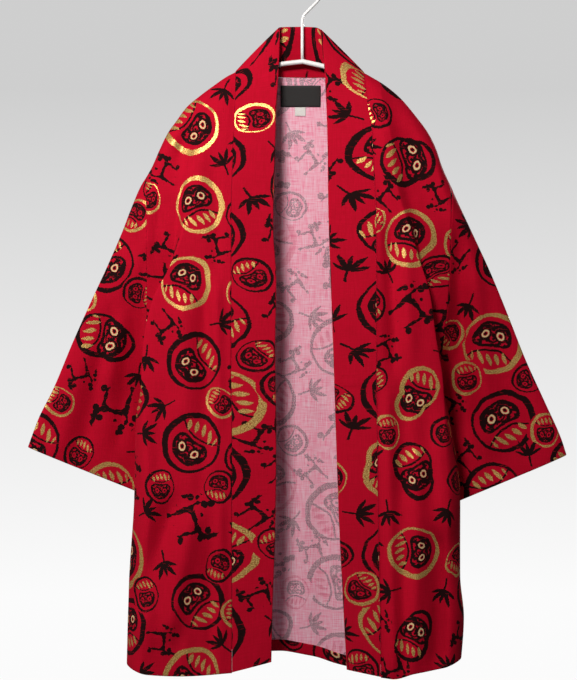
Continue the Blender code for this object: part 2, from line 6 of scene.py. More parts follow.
# %% Load the frame
import bpy
import numpy as np
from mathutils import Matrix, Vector


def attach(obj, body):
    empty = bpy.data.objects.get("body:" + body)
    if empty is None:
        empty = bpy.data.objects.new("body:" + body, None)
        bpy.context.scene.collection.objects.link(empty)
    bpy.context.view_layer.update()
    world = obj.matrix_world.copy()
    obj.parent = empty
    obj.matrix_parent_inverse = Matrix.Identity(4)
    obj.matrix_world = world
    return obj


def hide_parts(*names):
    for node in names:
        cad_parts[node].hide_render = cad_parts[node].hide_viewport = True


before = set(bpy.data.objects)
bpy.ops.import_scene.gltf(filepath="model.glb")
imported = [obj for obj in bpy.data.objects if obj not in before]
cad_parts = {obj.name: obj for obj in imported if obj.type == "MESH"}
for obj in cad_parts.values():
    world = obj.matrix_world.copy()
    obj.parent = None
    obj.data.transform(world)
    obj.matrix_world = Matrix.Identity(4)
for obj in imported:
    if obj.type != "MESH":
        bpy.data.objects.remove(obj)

MM = 0.001
LEFT, RIGHT = -1, 1
SIDES = {LEFT: "left", RIGHT: "right"}
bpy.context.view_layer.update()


# %% [markdown]
# The shapes come from short tables, in millimetres. "out" is the distance sideways from the
# middle, "drop" the distance below the hook, "fore" and "aft" towards the front and the back. A
# curve that never overshoots is drawn through each column, so cloth between two rows stays calm.

# %% Tables and curves through them
def table(columns, rows):
    """The named columns of a table written one row for each section."""
    values = np.array(rows, float)
    return {name: values[:, i] for i, name in enumerate(columns.split())}


def across(knots, stops, at):
    """Cubic pieces through stops at knots, with slopes limited so that no piece overshoots.

    The slope at an inner knot is the harmonic mean of its two neighbours' slopes, or 0 where they
    turn. stops may hold whole arrays, one for each knot, in the shape of at.
    """
    knots = np.asarray(knots, float)
    at = np.clip(np.asarray(at, float), knots[0], knots[-1])
    stops = np.array([np.broadcast_to(stop, at.shape) for stop in stops], float)
    step = np.diff(knots).reshape((-1,) + (1,) * at.ndim)
    slope = np.diff(stops, axis=0) / step
    product = slope[1:] * slope[:-1]
    inner = np.where(product > 0, 2 * product / (slope[1:] + slope[:-1] + 1e-12), 0.0)
    tangent = np.concatenate([slope[:1], inner, slope[-1:]])
    i = np.clip(np.searchsorted(knots, at, side="right") - 1, 0, len(knots) - 2)
    width = np.diff(knots)[i]
    t = (at - knots[i]) / width
    near, far = (np.take_along_axis(stops, (i + k)[None], 0)[0] for k in (0, 1))
    leave, reach = (np.take_along_axis(tangent, (i + k)[None], 0)[0] * width for k in (0, 1))
    return ((1 + 2 * t) * (1 - t) ** 2 * near + t * (1 - t) ** 2 * leave
            + t * t * (3 - 2 * t) * far - t * t * (1 - t) * reach)


def read(tab, key, column, at):
    return across(tab[key], tab[column], at)


def ease(share):
    """0 before 0, 1 after 1, and a soft start and end between."""
    share = np.clip(share, 0, 1)
    return share * share * (3 - 2 * share)


def unit(vectors):
    return vectors / np.maximum(np.linalg.norm(vectors, axis=-1, keepdims=True), 1e-9)


def point(x, fore, drop):
    return np.stack(np.broadcast_arrays(x, -fore, -drop), axis=-1)


# %% [markdown]
# The body of the coat is a flattened tube. Each front is described by level sections: the collar
# seam, the crest of the fold that falls over the sleeve, the valley behind it, and the outer edge.

# %% The shoulder line, the fronts and the back
SHOULDER = {
    LEFT: table("out drop", [
        (89.0, 134.0), (100.1, 139.7), (118.4, 152.3), (135.7, 165.2), (153.6, 180.2),
        (168.9, 200.7), (179.0, 214.8), (191.8, 241.4), (199.5, 259.2), (207.5, 273.5),
    ]),
    RIGHT: table("out drop", [
        (81.0, 135.0), (90.4, 140.3), (107.0, 150.3), (129.0, 168.2), (151.4, 194.6),
        (164.9, 212.7), (176.4, 234.7), (184.7, 259.7), (196.8, 286.5),
    ]),
}
SECTION = "drop seam_out seam_fore crest_out crest_fore valley_out valley_fore edge_out edge_fore"
FRONT = {
    LEFT: table(SECTION, [
        (134, 89, 14, 122, 15, 142, 14, 200, 13),
        (197, 90, 27, 128, 27, 146, 20, 204, 16),
        (237, 92, 34, 138, 32, 154, 22, 207, 18),
        (277, 93, 38, 146, 37, 164, 25, 207.5, 20),
        (310, 94, 40, 150, 40, 167, 27, 206.5, 25),
        (350, 94, 42, 157, 42, 169, 27, 206, 26),
        (397, 94, 43, 176, 40, 175, 22, 206, 18),
        (437, 94, 44, 197, 37, 190, 16, 207, 8),
        (490, 94, 45, 209, 36, 198, 10, 208, -2),
        (537, 94, 45, 212, 35, 211, 6, 208, -12),
        (600, 93, 45, 205, 42, 221, 12, 214, -16),
        (700, 93, 44, 200, 46, 223, 12, 216, -20),
        (813, 93, 44, 206, 46, 230, 12, 222, -20),
        (930, 93, 44, 210, 48, 233, 14, 225, -20),
    ]),
    RIGHT: table(SECTION, [
        (135, 81, 14, 98, 16, 118, 15, 190, 13),
        (176, 85, 23, 104, 25, 120, 19, 194, 15),
        (219, 91, 32, 114, 33, 131, 24, 196, 17),
        (273, 93, 37, 120, 38, 137, 27, 197, 20),
        (304, 95, 40, 126, 41, 142, 28, 197, 23),
        (329, 96, 41, 134, 42, 150, 28, 196, 24),
        (373, 96, 42, 148, 41, 153, 24, 195, 18),
        (429, 96, 43, 166, 39, 163, 18, 193, 10),
        (485, 96, 44, 174, 38, 168, 12, 188, 0),
        (550, 96, 44, 184, 36, 184, 6, 181, -12),
        (620, 97, 44, 186, 42, 199, 10, 192, -16),
        (700, 98, 44, 190, 44, 208, 12, 201, -20),
        (800, 100, 44, 186, 45, 208, 12, 200, -20),
        (857, 101, 44, 190, 45, 213, 12, 205, -20),
        (930, 102, 44, 186, 46, 208, 12, 200, -20),
    ]),
}
BACK_SECTION = "drop neck_out neck_aft blade_out blade_aft side_out side_aft edge_out edge_aft"
BACK = {
    LEFT: table(BACK_SECTION, [
        (134, 89, 14, 126, 16, 164, 16, 200, 14),
        (200, 89, 22, 135, 25, 174, 23, 206, 19),
        (277, 90, 27, 138, 30, 180, 28, 207.5, 23),
        (350, 90, 30, 140, 34, 182, 33, 206, 27),
        (437, 91, 32, 140, 36, 184, 35, 207, 27),
        (490, 91, 33, 140, 36, 188, 36, 208, 23),
        (537, 91, 33, 142, 36, 192, 36, 208, 12),
        (600, 92, 34, 146, 37, 195, 36, 214, 16),
        (700, 92, 35, 148, 38, 195, 38, 216, 20),
        (930, 93, 36, 152, 39, 202, 39, 225, 20),
    ]),
    RIGHT: table(BACK_SECTION, [
        (135, 81, 14, 118, 16, 156, 16, 190, 14),
        (200, 83, 22, 126, 25, 166, 23, 195, 19),
        (287, 85, 27, 128, 30, 170, 28, 197, 23),
        (373, 87, 31, 130, 34, 170, 34, 195, 27),
        (450, 88, 33, 130, 36, 168, 36, 192, 26),
        (500, 88, 33, 130, 36, 166, 36, 187, 22),
        (550, 88, 34, 128, 37, 162, 36, 181, 12),
        (620, 89, 34, 130, 37, 172, 37, 192, 16),
        (700, 90, 35, 134, 38, 180, 38, 201, 20),
        (930, 92, 36, 138, 39, 178, 39, 200, 20),
    ]),
}
FRONT_PLACES = {"seam": 0.0, "crest": 0.60, "valley": 0.80, "edge": 1.0}
BACK_PLACES = {"neck": 0.0, "blade": 0.45, "side": 0.82, "edge": 1.0}
UNDERARM = {LEFT: 537.0, RIGHT: 550.0}
BACK_NECK_AFT, BACK_NECK_DROP = 14.0, 5.0
RIDGE, RIDGE_BLEND, EDGE_SHARE = 38.0, 90.0, 0.15
FRONT_HEM = {
    LEFT: table("share drop", [(0, 925), (0.3, 929), (0.55, 927), (0.8, 917), (1, 912)]),
    RIGHT: table("share drop", [(0, 931), (0.12, 933), (0.3, 926), (0.6, 918), (0.8, 910), (1, 908)]),
}
BACK_HEM = table("x drop", [
    (-225, 912), (-120, 906), (-39, 907), (7, 914), (38, 924), (58, 928), (120, 925), (200, 908),
])
print("sections", {SIDES[side]: len(FRONT[side]["drop"]) for side in SIDES})


# %% [markdown]
# Hanging cotton falls in a few large folds and many slight ones. A fold here is a soft ridge, or a
# trough where its lift is negative, along a line on the cloth. The cloth's own unevenness is a sum
# of long slanting waves, less than a millimetre high. Placing them one by one keeps every fold where
# such a coat has it, which a cloth simulation from a flat start would not.

# %% Folds
FOLD = "top_out top_drop low_out low_drop width lift"
FOLDS = {
    ("front", LEFT): table(FOLD, [
        (108, 146, 134, 200, 9, -4.5),
        (146, 185, 166, 262, 9, -3.5),
        (190, 290, 203, 390, 10, -5.5),
        (113, 400, 106, 600, 10, 5.5),
        (130, 410, 122, 590, 10, -3.5),
        (166, 680, 221, 850, 16, -6.5),
        (138, 690, 176, 880, 15, 6.0),
        (106, 680, 103, 900, 9, 4.5),
        (132, 215, 142, 330, 9, 1.6),
        (118, 230, 112, 400, 10, -1.6),
        (134, 430, 128, 640, 12, -2.4),
        (160, 420, 152, 600, 13, 2.2),
        (186, 540, 190, 680, 11, -2.0),
        (122, 600, 140, 720, 10, -1.8),
        (196, 690, 205, 900, 10, 2.0),
        (124, 740, 120, 920, 9, -2.0),
        (150, 850, 154, 930, 9, 1.6),
    ]),
    ("front", RIGHT): table(FOLD, [
        (112, 320, 118, 530, 10, -4.5),
        (104, 540, 116, 925, 11, 5.5),
        (184, 720, 176, 925, 18, -8.0),
        (150, 620, 146, 925, 14, 5.5),
        (104, 180, 112, 300, 9, 1.6),
        (134, 350, 142, 520, 10, 2.4),
        (126, 540, 134, 700, 11, -2.6),
        (160, 560, 166, 700, 12, -2.0),
        (176, 600, 190, 760, 10, 2.0),
        (132, 740, 132, 925, 8, -2.2),
        (166, 800, 162, 925, 8, 1.8),
    ]),
    ("sleeve", LEFT): table(FOLD, [
        (226, 350, 262, 560, 16, 5.0),
        (246, 420, 300, 640, 14, -4.0),
        (285, 470, 330, 650, 18, 3.5),
        (232, 470, 250, 640, 10, -2.6),
        (222, 330, 236, 450, 9, -2.0),
        (252, 360, 300, 520, 11, -1.8),
        (318, 540, 346, 640, 11, -1.8),
    ]),
    ("sleeve", RIGHT): table(FOLD, [
        (200, 330, 222, 620, 13, -6.0),
        (222, 380, 252, 640, 16, 6.0),
        (262, 450, 300, 650, 18, -3.5),
        (214, 330, 240, 450, 9, 2.0),
        (244, 400, 290, 540, 11, 2.0),
        (236, 560, 262, 680, 10, -2.4),
        (310, 560, 334, 650, 11, 1.8),
    ]),
    ("sleeve back", LEFT): table(FOLD, [
        (232, 360, 200, 650, 18, 6.0),
        (262, 430, 262, 660, 16, -5.0),
        (300, 480, 318, 650, 14, 3.0),
        (226, 400, 170, 640, 10, -3.0),
        (244, 380, 232, 640, 9, 2.0),
    ]),
    ("sleeve back", RIGHT): table(FOLD, [
        (220, 370, 190, 660, 18, 6.0),
        (250, 440, 250, 670, 16, -5.0),
        (286, 490, 304, 660, 14, 3.0),
        (214, 400, 160, 650, 10, -3.0),
        (232, 390, 220, 650, 9, 2.0),
    ]),
    ("back", LEFT): table(FOLD, [
        (150, 230, 120, 420, 20, 4.0),
        (110, 480, 96, 930, 22, 6.0),
        (170, 560, 160, 930, 20, 6.0),
        (60, 520, 50, 930, 20, -4.0),
        (176, 300, 150, 470, 11, -3.0),
        (140, 460, 132, 700, 12, -3.0),
        (30, 600, 22, 930, 14, 3.0),
        (84, 300, 70, 520, 14, -2.0),
    ]),
    ("back", RIGHT): table(FOLD, [
        (145, 240, 118, 430, 20, 4.0),
        (108, 500, 112, 930, 22, 6.0),
        (158, 620, 158, 930, 18, 5.0),
        (55, 560, 64, 930, 18, -4.0),
        (168, 310, 140, 480, 11, -3.0),
        (132, 480, 138, 720, 12, -3.0),
        (24, 560, 30, 930, 14, 2.5),
        (80, 290, 74, 500, 14, -2.0),
    ]),
}
FOLD_FADE, FOLD_DEPTH = 45.0, 1.3


def fold_lift(panel, side, out, drop):
    """Sum of ridges: lift times a bell across the fold's line, faded in and out along it."""
    lift = np.zeros(np.broadcast(out, drop).shape)
    for top_out, top_drop, low_out, low_drop, width, height in zip(*FOLDS[panel, side].values()):
        share = (drop - top_drop) / (low_drop - top_drop)
        aside = (out - top_out - (low_out - top_out) * share) / width
        ends = ease((drop - top_drop) / FOLD_FADE) * ease(0.4 + (low_drop - drop) / FOLD_FADE)
        lift = lift + FOLD_DEPTH * height * ends * np.exp(-aside * aside)
    return lift


WAVES = table("across down start height", [
    (0.050, 0.013, 0.3, 0.55), (-0.034, 0.024, 1.9, 0.50), (0.083, -0.019, 4.1, 0.28),
    (0.021, 0.061, 2.7, 0.25), (-0.110, 0.037, 5.2, 0.16), (0.140, 0.090, 0.9, 0.10),
])


def unevenness(x, drop, turn):
    """A sum of slanting sine waves over the cloth, turned by a start angle for each panel."""
    total = np.zeros(np.broadcast(x, drop).shape)
    for wide, down, start, height in zip(*WAVES.values()):
        total = total + height * np.sin(wide * x + down * drop + start + turn)
    return total


print("folds", sum(len(tab["lift"]) for tab in FOLDS.values()))


# %% [markdown]
# Both fronts and the back share one shoulder line and one side seam. Rows run level, from the
# shoulder (row 0) past the underarm (row 1) to the hem (row 2), and lie closer together where the
# cloth turns over the shoulder ridge.

# %% The panels as functions of share and row
FINE = 6  # grid steps to each step of the plain solids
PANEL_COLUMNS, ARMHOLE_ROWS, SIDE_ROWS, NECK_COLUMNS = 16 * FINE, 14 * FINE, 12 * FINE, 10 * FINE
SLEEVE_ROWS, COLLAR_ROUND = 15 * FINE, 40


def rounded(below):
    """How far round the shoulder ridge the cloth is: a quarter circle's height over RIDGE."""
    return np.sqrt(1 - (1 - np.clip(below / RIDGE, 0, 1)) ** 2)


def section(tab, places, kind, drop, share):
    """One coordinate across a level section, through the places that its table names."""
    stops = [read(tab, "drop", f"{name}_{kind}", drop) for name in places]
    return across(list(places.values()), stops, share)


def shoulder_point(side, share):
    """(out, drop) where a front's column meets the shoulder line, found by going back and forth."""
    share = np.asarray(share, float)
    drop = np.full(share.shape, 200.0)
    for _ in range(40):
        out = section(FRONT[side], FRONT_PLACES, "out", drop, share)
        drop = read(SHOULDER[side], "out", "drop", out)
    return out, drop


def row_drop(top, underarm, hem, row):
    return np.where(row <= 1, top + (underarm - top) * np.clip(row, 0, 1),
                    underarm + (hem - underarm) * np.clip(row - 1, 0, 1))


def panel_rows():
    armhole = (1 - np.cos(np.pi * np.arange(ARMHOLE_ROWS) / ARMHOLE_ROWS)) / 2
    return np.concatenate([armhole, np.linspace(1, 2, SIDE_ROWS + 1)])


def front_grid(side, shares, rows):
    """A front: place by section, moved forward by its folds, rounded over the shoulder."""
    share, row = np.meshgrid(shares, rows)
    top = np.broadcast_to(shoulder_point(side, shares)[1], share.shape)
    hem = read(FRONT_HEM[side], "share", "drop", share)
    drop = row_drop(top, UNDERARM[side], hem, row)
    out = section(FRONT[side], FRONT_PLACES, "out", drop, share)
    fore = section(FRONT[side], FRONT_PLACES, "fore", drop, share)
    inner = ease(share / EDGE_SHARE) * ease((1 - share) / EDGE_SHARE)
    fore = fore + (fold_lift("front", side, out, drop) + unevenness(out, drop, side)) * inner
    return point(side * out, fore * rounded(drop - top), drop)


def back_side(side, shares, rows):
    """The back below one shoulder, from the same shoulder points as the front's."""
    top_out, top = shoulder_point(side, shares)
    widest = {name: BACK[side][f"{name}_out"][-1] for name in ("neck", "edge")}
    hem = read(BACK_HEM, "x", "drop", side * (widest["neck"] * (1 - shares) + widest["edge"] * shares))
    drop = row_drop(top[None], UNDERARM[side], hem[None], rows[:, None])
    share = np.broadcast_to(shares, drop.shape)
    below = drop - top
    out = section(BACK[side], BACK_PLACES, "out", drop, share)
    out = top_out + (out - top_out) * ease(below / RIDGE_BLEND)
    aft = section(BACK[side], BACK_PLACES, "aft", drop, share)
    folds = fold_lift("back", side, out, drop) + unevenness(out, drop, 2 + side)
    aft = aft + folds * ease((1 - share) / EDGE_SHARE)
    return point(side * out, -aft * rounded(below), drop)


def neck_seam(share):
    """The back neck's seam, from the left neck point (0) to the right one (1)."""
    (x_left, drop_left), (x_right, drop_right) = (shoulder_point(side, 0.0) for side in (LEFT, RIGHT))
    dip = 1 - np.abs(2 * share - 1) ** 2.6
    x = -x_left + (x_left + x_right) * share
    return x, BACK_NECK_AFT * dip ** 0.6, drop_left + (drop_right - drop_left) * share + BACK_NECK_DROP * dip


def back_middle(shares, rows):
    """The back below the neck, hanging from the collar's seam."""
    x_top, aft_top, top = neck_seam(shares)
    underarm = UNDERARM[LEFT] + (UNDERARM[RIGHT] - UNDERARM[LEFT]) * shares
    drop = row_drop(top[None], underarm[None], read(BACK_HEM, "x", "drop", x_top)[None], rows[:, None])
    share = np.broadcast_to(shares, drop.shape)
    left, right = (read(BACK[side], "drop", "neck_out", drop) for side in (LEFT, RIGHT))
    x = -left + (left + right) * share
    aft = [read(BACK[side], "drop", "neck_aft", drop) for side in (LEFT, RIGHT)]
    aft = aft[0] + (aft[1] - aft[0]) * share
    aft = aft + fold_lift("back", LEFT, -x, drop) + fold_lift("back", RIGHT, x, drop)
    aft = aft + unevenness(np.abs(x), drop, 2 + np.sign(x)) * ease(np.abs(x) / 40)
    below = drop - top
    return point(x_top + (x - x_top) * ease(below / RIDGE_BLEND),
                 -(aft_top + (aft - aft_top) * rounded(below)), drop)


def back_grid(shares, neck, rows, side_seams):
    """The back's three parts side by side, drawn to the fronts' side seams below the underarms."""
    grid = np.concatenate([back_side(LEFT, shares[::-1], rows), back_middle(neck[1:-1], rows),
                           back_side(RIGHT, shares, rows)], axis=1)
    columns = grid.shape[1]
    near = ease((shares - 0.6) / 0.4)
    for side, edge in ((LEFT, 0), (RIGHT, -1)):
        weight = np.zeros(columns)
        if side == LEFT:
            weight[:len(shares)] = near[::-1]
        else:
            weight[-len(shares):] = near
        gap = side_seams[side][ARMHOLE_ROWS:] - grid[ARMHOLE_ROWS:, edge]
        grid[ARMHOLE_ROWS:] += gap[:, None] * weight[None, :, None]
    return grid


shares, rows = np.linspace(0, 1, PANEL_COLUMNS + 1), panel_rows()
neck_shares = np.linspace(0, 1, NECK_COLUMNS + 1)
fronts = {side: front_grid(side, shares, rows) for side in (LEFT, RIGHT)}
back = back_grid(shares, neck_shares, rows, {side: fronts[side][:, -1] for side in (LEFT, RIGHT)})
print("front grid", fronts[LEFT].shape[:2], "back grid", back.shape[:2])


# %% [markdown]
# A sleeve is a straight tube sewn to the armhole. It hangs nearly flat and fans out, because its
# top runs the full length while the cloth under the arm bunches. Each ring is a flattened oval
# between the upper fold, which is the outline, and the lower fold behind the back. Near the
# armhole the ring turns smoothly into the armhole's own shape.

# %% The sleeves
SLEEVE_TOP = {
    LEFT: table("along out drop aft", [
        (0.0, 207.5, 273.5, 0), (0.035, 214.7, 284.8, 1), (0.133, 230.1, 320.4, 3),
        (0.204, 240.2, 346.5, 4), (0.334, 260.7, 393.0, 7), (0.455, 280.9, 436.2, 9),
        (0.611, 306.3, 492.2, 12), (0.793, 334.2, 557.9, 15), (0.895, 352.5, 593.8, 17),
        (1.0, 367.1, 632.4, 18),
    ]),
    RIGHT: table("along out drop aft", [
        (0.0, 196.8, 286.5, 0), (0.026, 200.8, 295.9, 1), (0.162, 223.4, 343.8, 4),
        (0.332, 251.4, 403.7, 7), (0.479, 273.4, 456.5, 10), (0.648, 297.9, 517.5, 13),
        (0.804, 323.2, 572.6, 15), (0.943, 345.5, 621.8, 17), (1.0, 352.5, 643.0, 18),
    ]),
}
SLEEVE_LOW = {
    LEFT: table("along out drop aft", [
        (0.0, 208, 537, 12), (0.12, 208, 568, 38), (0.3, 194, 608, 58),
        (0.6, 164, 665, 68), (1.0, 118, 737, 70),
    ]),
    RIGHT: table("along out drop aft", [
        (0.0, 181, 550, 12), (0.12, 182, 582, 38), (0.3, 172, 622, 58),
        (0.6, 148, 679, 68), (1.0, 105, 752, 70),
    ]),
}
SLEEVE_HALF = table("along half", [(0.0, 14), (0.3, 13), (0.7, 12), (1.0, 13)])
ARMHOLE_BLEND = 0.4


def sleeve_oval(side, along, share, layer):
    """The flat tube: upper fold plus share of the way to the lower one, swollen to each side."""
    top, low = ([read(tab[side], "along", name, along) for name in ("out", "drop", "aft")]
                for tab in (SLEEVE_TOP, SLEEVE_LOW))
    out, drop, aft = (t + (l - t) * share for t, l in zip(top, low))
    swell = np.sqrt(np.clip(1 - np.abs(2 * share - 1) ** 3.0, 0, 1))
    folds = np.where(layer > 0, fold_lift("sleeve", side, out, drop),
                     fold_lift("sleeve back", side, out, drop))
    folds = folds + unevenness(out, drop, side + layer)
    half = read(SLEEVE_HALF, "along", "half", along)
    return point(side * out, -aft + layer * (half + folds) * swell, drop)


def sleeve_grid(side, armhole, along):
    """Rings from the armhole to the cuff, each down the front layer and up the back one."""
    half = len(armhole) // 2
    share = (1 - np.cos(np.pi * np.arange(half + 1) / half)) / 2
    share = np.concatenate([share, share[-2:0:-1]])
    layer = np.where(np.arange(len(armhole)) <= half, 1.0, -1.0)
    along, share = np.meshgrid(along, share, indexing="ij")
    rings = sleeve_oval(side, along, share, np.broadcast_to(layer, share.shape))
    return rings + (armhole - rings[0]) * (1 - ease(along / ARMHOLE_BLEND))[..., None]


def sleeve_flat(side, count, along):
    """The sleeve's flat cloth: the fan itself for the front layer, and turned over its upper fold
    for the back layer, so that a print runs on over the fold."""
    half = count // 2
    share = (1 - np.cos(np.pi * np.arange(half + 1) / half)) / 2
    share = np.concatenate([share, share[-2:0:-1]])
    top, low = (np.stack([side * read(tab[side], "along", "out", along),
                          -read(tab[side], "along", "drop", along)], axis=-1)
                for tab in (SLEEVE_TOP, SLEEVE_LOW))
    fold = unit(top[-1] - top[0])
    way = low - top
    mirrored = 2 * (way @ fold)[:, None] * fold - way
    behind = (np.arange(count) > half)[None, :, None]
    return top[:, None] + share[None, :, None] * np.where(behind, mirrored[:, None], way[:, None])


along = np.linspace(0, 1, SLEEVE_ROWS + 1)
sleeves = {}
for side, column in ((LEFT, 0), (RIGHT, -1)):
    armhole = np.concatenate([fronts[side][:ARMHOLE_ROWS + 1, -1], back[ARMHOLE_ROWS - 1:0:-1, column]])
    sleeves[side] = sleeve_grid(side, armhole, along)
print("sleeve grid", sleeves[LEFT].shape[:2])


# %% [markdown]
# The collar is one long band, folded double and sewn round the neck and down both fronts. It
# stands at the back of the neck and folds over itself at the shoulder. Its rows run from the seam
# to the free edge and fan out at that fold. A row's outline is the cloth's real one: out to the
# free edge, round it, and back on the inside.

# %% The collar band
COLLAR_EDGE = {
    LEFT: table("drop out fore", [
        (74, 29.5, 1), (82, 29.6, 6), (120, 31, 13), (187, 34.6, 26), (273, 37.2, 36), (343, 38.6, 40),
        (414, 34.6, 41), (498, 35.9, 42), (623, 34.6, 42), (735, 35.9, 42), (847, 39.9, 41),
        (912, 41.2, 40),
    ]),
    RIGHT: table("drop out fore", [
        (77, 22.6, 1), (85, 23.2, 6), (122, 27.3, 13), (148, 29.3, 19), (232, 31.9, 33), (315, 32.7, 38),
        (414, 35.9, 41), (498, 39.1, 42), (625, 43.2, 42), (735, 47.3, 42), (819, 51.6, 41),
        (922, 57.2, 40),
    ]),
}
COLLAR_FAN = 13.0
COLLAR_HEM_LIFT = {LEFT: 13.0, RIGHT: 9.0}
COLLAR_BACK = table("seam_x edge_x edge_drop edge_aft", [
    (-89, -29.5, 74, -1), (-62, -28.5, 72.5, 5), (-34, -25, 72, 8), (-4, -3, 71.5, 9),
    (26, 17, 72.5, 8), (55, 21.5, 74.5, 5), (81, 22.6, 77, -1),
])
COLLAR_HALF = 1.15  # half the band's thickness
COLLAR_WIDTH = 60.0


def collar_edge(side, seam):
    """The free edge across from each seam point: level below, rising to the corner at the neck."""
    drop = -seam[:, 2]
    top = drop.min()
    edge = drop - (top - COLLAR_EDGE[side]["drop"][0]) * np.exp(-(drop - top) / COLLAR_FAN)
    edge = edge - COLLAR_HEM_LIFT[side] * ease((drop - 700) / 230)
    return point(side * read(COLLAR_EDGE[side], "drop", "out", edge),
                 read(COLLAR_EDGE[side], "drop", "fore", edge), edge)


def collar_rows(left_seam, neck, right_seam):
    """(seam, edge) of every row, from the left hem round the neck to the right hem."""
    x = neck[1:-1, 0]
    behind = point(read(COLLAR_BACK, "seam_x", "edge_x", x),
                   -read(COLLAR_BACK, "seam_x", "edge_aft", x),
                   read(COLLAR_BACK, "seam_x", "edge_drop", x))
    seam = np.concatenate([left_seam[::-1], neck[1:-1], right_seam])
    edge = np.concatenate([collar_edge(LEFT, left_seam)[::-1], behind, collar_edge(RIGHT, right_seam)])
    return seam[::-1], edge[::-1]


def finer(seam, times, steps):
    """A seam with its first few steps divided, for the fan of rows at the neck point."""
    places = np.concatenate([np.arange(0, steps, 1 / times), np.arange(steps, len(seam))])
    return np.stack([np.interp(places, np.arange(len(seam)), seam[:, k]) for k in range(3)], axis=1)


def collar_grid(seam, edge):
    """The doubled band: along each row the cloth goes out, turns round the free edge in a half
    circle, and comes back COLLAR_HALF to either side of the row's middle line."""
    turn = 10
    flat = (COLLAR_ROUND - turn) // 2
    share = ease(np.linspace(0, 1, flat + 1)) * 0.5 + np.linspace(0, 1, flat + 1) * 0.5
    share = 0.003 + (0.975 - 0.003) * share
    angle = np.linspace(0, np.pi, turn + 1)[1:-1]
    middle = np.concatenate([share, np.full(len(angle), 0.975), share[::-1]])
    past = np.concatenate([0 * share, np.sin(angle), 0 * share]) * COLLAR_HALF
    lift = np.concatenate([1 + 0 * share, np.cos(angle), -1 + 0 * share]) * COLLAR_HALF
    puff = 1 + 0.55 * np.sin(np.pi * np.clip(middle, 0, 1)) ** 0.6
    line = seam[:, None] + (edge - seam)[:, None] * middle[None, :, None]
    across_band = unit(edge - seam)
    along_band = unit(np.gradient((seam + edge) / 2, axis=0))
    normal = unit(np.cross(along_band, across_band))
    for _ in range(3):
        normal[1:-1] = unit(normal[:-2] + 2 * normal[1:-1] + normal[2:])
    wave = 0.35 * unevenness(np.arange(len(seam)) * 5.0, 0.0, 1.0)[:, None] * np.sin(np.pi * middle)
    return (line + normal[:, None] * ((lift * puff)[None] + wave)[..., None]
            + across_band[:, None] * past[None, :, None])


neck_line = np.concatenate([fronts[LEFT][:1, 0], back[0, PANEL_COLUMNS + 1:-PANEL_COLUMNS - 1],
                            fronts[RIGHT][:1, 0]])
seam, edge = collar_rows(finer(fronts[LEFT][:, 0], 2, 16), neck_line, finer(fronts[RIGHT][:, 0], 2, 16))
collar = collar_grid(seam, edge)
print("collar grid", collar.shape[:2])


# %% [markdown]
# Real hems are turned up inside and stitched. Here each panel's grid simply goes on past its
# edge: round a tight half circle and a little way up the inside, so the right side of the print
# shows on the inside as it does on a sewn hem.

# %% From grids to cloth
def grid_normals(grid, ring=False):
    """Normals from the cross product of the two grid directions."""
    if ring:
        sideways = np.roll(grid, -1, axis=1) - np.roll(grid, 1, axis=1)
    else:
        sideways = np.gradient(grid, axis=1)
    return unit(np.cross(np.gradient(grid, axis=0), sideways))


HEM_RISE, HEM_ROUND = 14.0, 0.9


def with_hem(grid, flat, ring=False):
    """The grid and its flat places, with the last row carried round the hem and up the inside."""
    normal = grid_normals(grid, ring)[-1]
    down = unit(grid[-1] - grid[-3])
    angles = np.linspace(0, np.pi, 7)[1:]
    turn = [grid[-1] - normal * HEM_ROUND * (1 - np.cos(a)) + down * HEM_ROUND * np.sin(a)
            for a in angles]
    rise = [turn[-1] - down * height for height in np.linspace(0, HEM_RISE, 6)[1:]]
    gone = np.concatenate([angles * HEM_ROUND, np.pi * HEM_ROUND + np.linspace(0, HEM_RISE, 6)[1:]])
    way = unit(flat[-1] - flat[-3])
    more = flat[-1][None] + gone[:, None, None] * way[None]
    return np.concatenate([grid, np.array(turn + rise)]), np.concatenate([flat, more])


def panel_flat(grid, start):
    """The flat place of each point: the level distance from a start column, and the height."""
    step = np.linalg.norm(np.diff(grid[..., :2], axis=1), axis=-1)
    u = np.concatenate([np.zeros((len(grid), 1)), np.cumsum(step, axis=1)], axis=1)
    return np.stack([u - u[:, start:start + 1], grid[..., 2]], axis=-1)


CLOTH = 0.8  # the shell's thickness


def cloth(name, grid, flat, ring, materials, thick=CLOTH):
    """A mesh over a grid with the flat places as its UV map, in metres, and a wall if it is thin."""
    count, width = grid.shape[:2]
    number = np.arange(count * width).reshape(count, width)
    wide = np.concatenate([number, number[:, :1]], axis=1) if ring else number
    faces = np.stack([wide[:-1, :-1], wide[1:, :-1], wide[1:, 1:], wide[:-1, 1:]], axis=-1)
    mesh = bpy.data.meshes.new(name)
    mesh.from_pydata((grid * MM).reshape(-1, 3).tolist(), [], faces.reshape(-1, 4).tolist())
    mesh.shade_smooth()
    places = (flat * MM).reshape(-1, 2)
    corners = np.empty(len(mesh.loops), np.int32)
    mesh.loops.foreach_get("vertex_index", corners)
    mesh.uv_layers.new(name="flat cloth").data.foreach_set("uv", places[corners].ravel())
    obj = bpy.data.objects.new(name, mesh)
    bpy.context.scene.collection.objects.link(obj)
    for material in materials:
        mesh.materials.append(material)
    if thick:
        wall = obj.modifiers.new("wall", "SOLIDIFY")
        wall.thickness = thick * MM
        wall.offset = 0
        wall.material_offset = len(materials) - 1
        wall.material_offset_rim = 0
    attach(obj, "root")
    print(name, "points", count * width, "flat", np.ptp(places, axis=0).round(3))
    return obj


# %% [markdown]
# One small function adds a shader node with its settings and links; every material below uses it.
# Colours are written as the eye reads them, in sRGB hex, and turned to linear light once.

